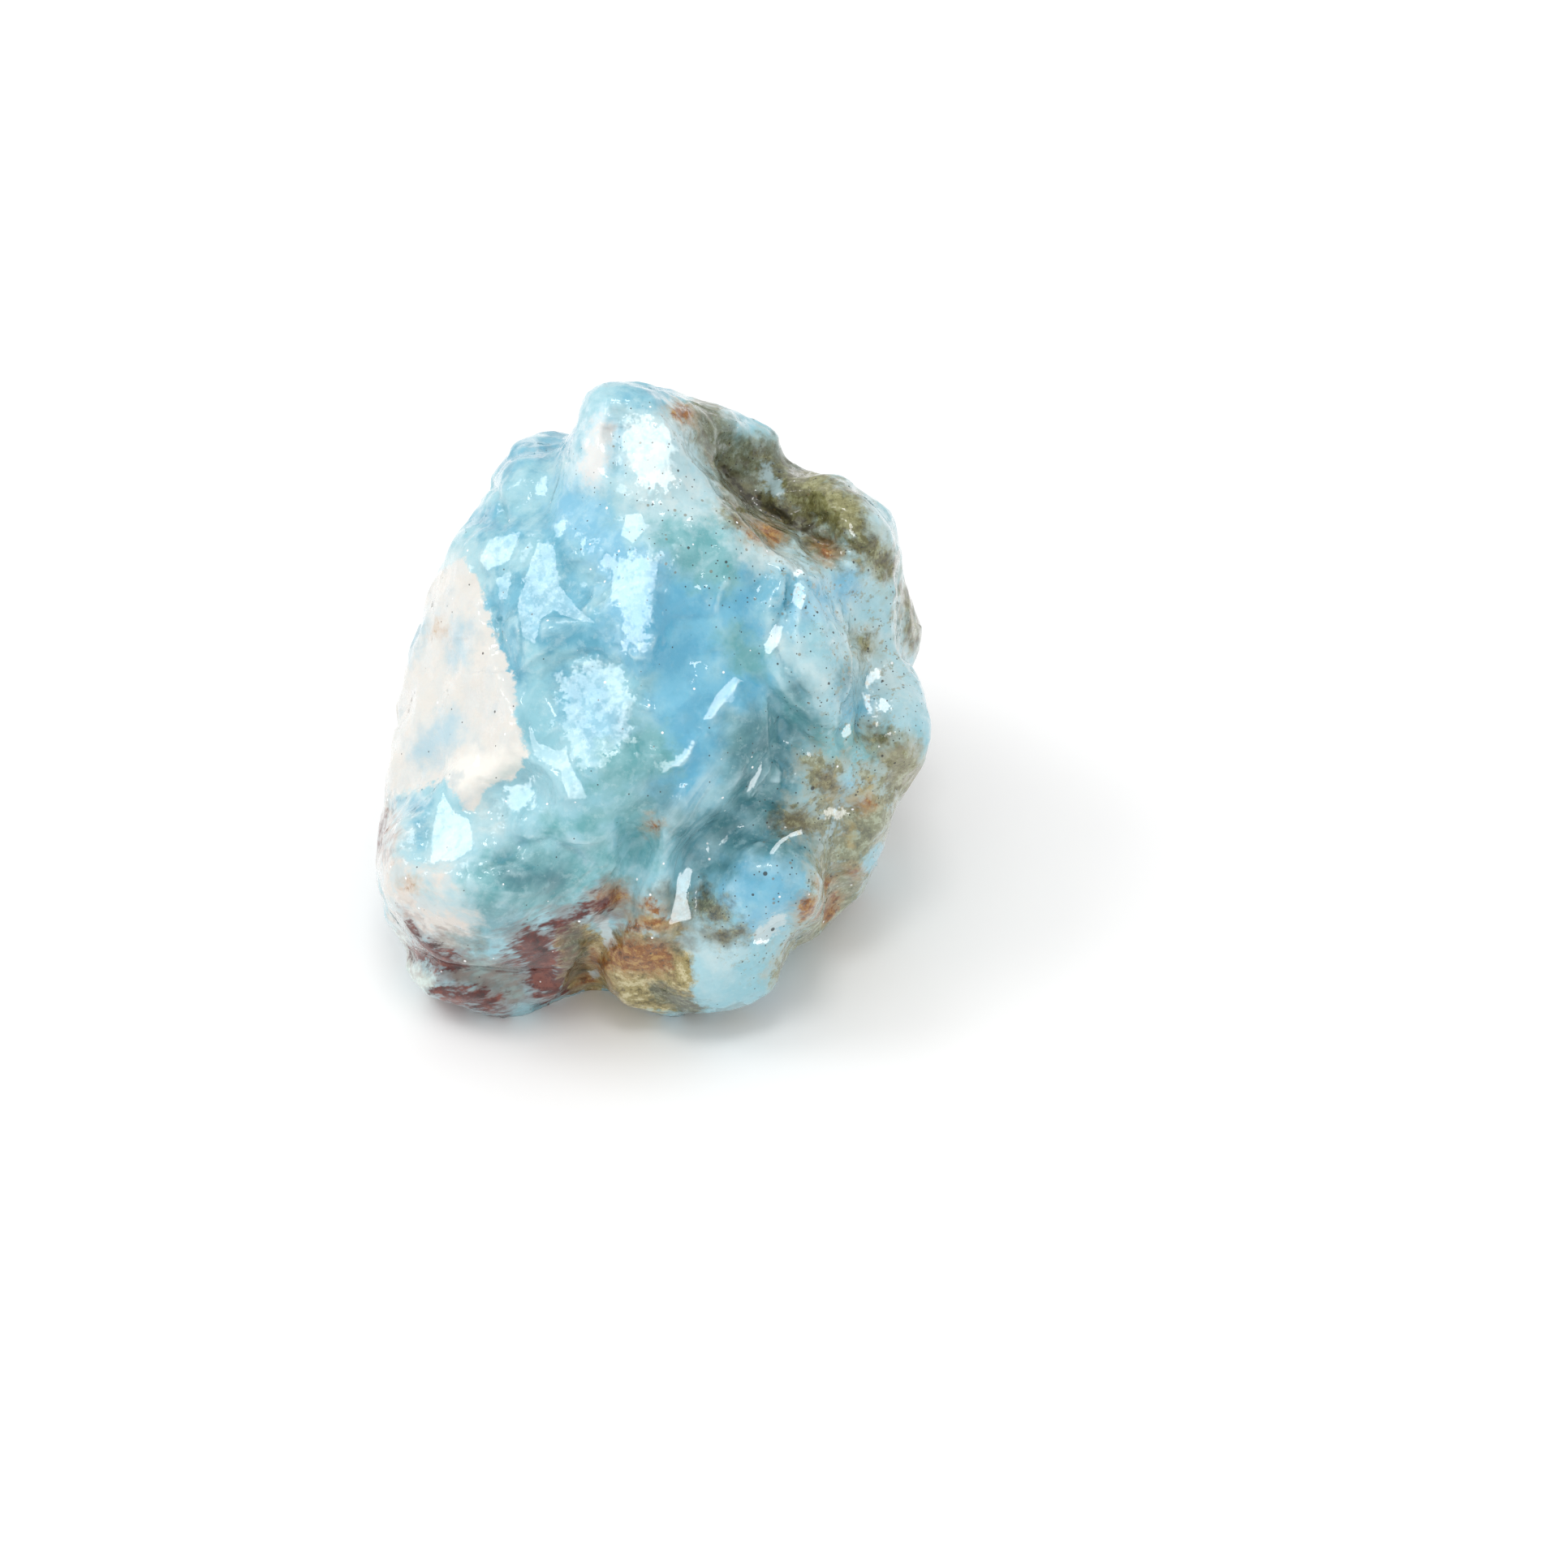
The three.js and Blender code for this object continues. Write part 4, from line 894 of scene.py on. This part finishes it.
TABLE_REACH = 3
TABLE_WHITE = (0.96, 0.96, 0.96, 1)
TABLE_ROUGHNESS = 0.9
ROOM_LIGHT = 0.86
SOFTBOX_PLACE = Vector((-0.246, 0.0, 0.330))
# Each lamp's name, width and watts, from the outermost to the hot middle.
SOFTBOX_PARTS = (("softbox_edge", 0.5, 0.09), ("softbox", 0.15, 0.28), ("softbox_middle", 0.035, 0.012))
OVERHEAD_PLACE = Vector((0.0, -0.103, 0.402))
OVERHEAD_PARTS = (("overhead", 0.3, 0.08), ("overhead_middle", 0.09, 0.24))
LAMP_GAP = 0.01

floor_mesh = bpy.data.meshes.new("tabletop")
corners = [(TABLE_REACH * x, TABLE_REACH * y, 0) for x, y in ((-1, -1), (1, -1), (1, 1), (-1, 1))]
floor_mesh.from_pydata(corners, [], [(0, 1, 2, 3)])
tabletop = bpy.data.objects.new("tabletop", floor_mesh)
bpy.context.collection.objects.link(tabletop)
white = bpy.data.materials.new("white_tabletop")
white.use_nodes = True
white_paint = white.node_tree.nodes["Principled BSDF"]
white_paint.inputs["Base Color"].default_value = TABLE_WHITE
white_paint.inputs["Roughness"].default_value = TABLE_ROUGHNESS
white_paint.inputs["Specular IOR Level"].default_value = 0.0
floor_mesh.materials.append(white)

room = bpy.data.worlds.new("white_room")
room.use_nodes = True
room.node_tree.nodes["Background"].inputs["Color"].default_value = (1, 1, 1, 1)
room.node_tree.nodes["Background"].inputs["Strength"].default_value = ROOM_LIGHT
bpy.context.scene.world = room

for place, parts in ((SOFTBOX_PLACE, SOFTBOX_PARTS), (OVERHEAD_PLACE, OVERHEAD_PARTS)):
    to_stone = (Vector(MIDDLE) - place).normalized()
    for layer, (name, side, watts) in enumerate(parts):
        lamp = bpy.data.objects.new(name, bpy.data.lights.new(name, "AREA"))
        lamp.data.size = side
        lamp.data.energy = watts
        lamp.location = place + LAMP_GAP * layer * to_stone
        lamp.rotation_euler = to_stone.to_track_quat("-Z", "Y").to_euler()
        bpy.context.collection.objects.link(lamp)
bpy.context.scene.view_settings.view_transform = "Standard"


# ---------------------------------------------------------------- camera
# It looks straight on to the showy face from a little way off, and has the stone up and to the left of the
# middle of its view.

CAMERA_DISTANCE = 0.2825
ACROSS, UP = 0.00842, -0.00542
LENS, SENSOR = 100, 36
NEAREST_SEEN = 0.01

rightwards, upwards, outwards = [Vector(axis) for axis in FACE_AXES]
camera = bpy.data.objects.new("camera", bpy.data.cameras.new("camera"))
camera.data.lens = LENS
camera.data.sensor_width = SENSOR
camera.data.clip_start = NEAREST_SEEN
camera.location = Vector(MIDDLE) + ACROSS * rightwards + UP * upwards + CAMERA_DISTANCE * outwards
camera.rotation_euler = (-outwards).to_track_quat("-Z", "Y").to_euler()
bpy.context.collection.objects.link(camera)
bpy.context.scene.camera = camera
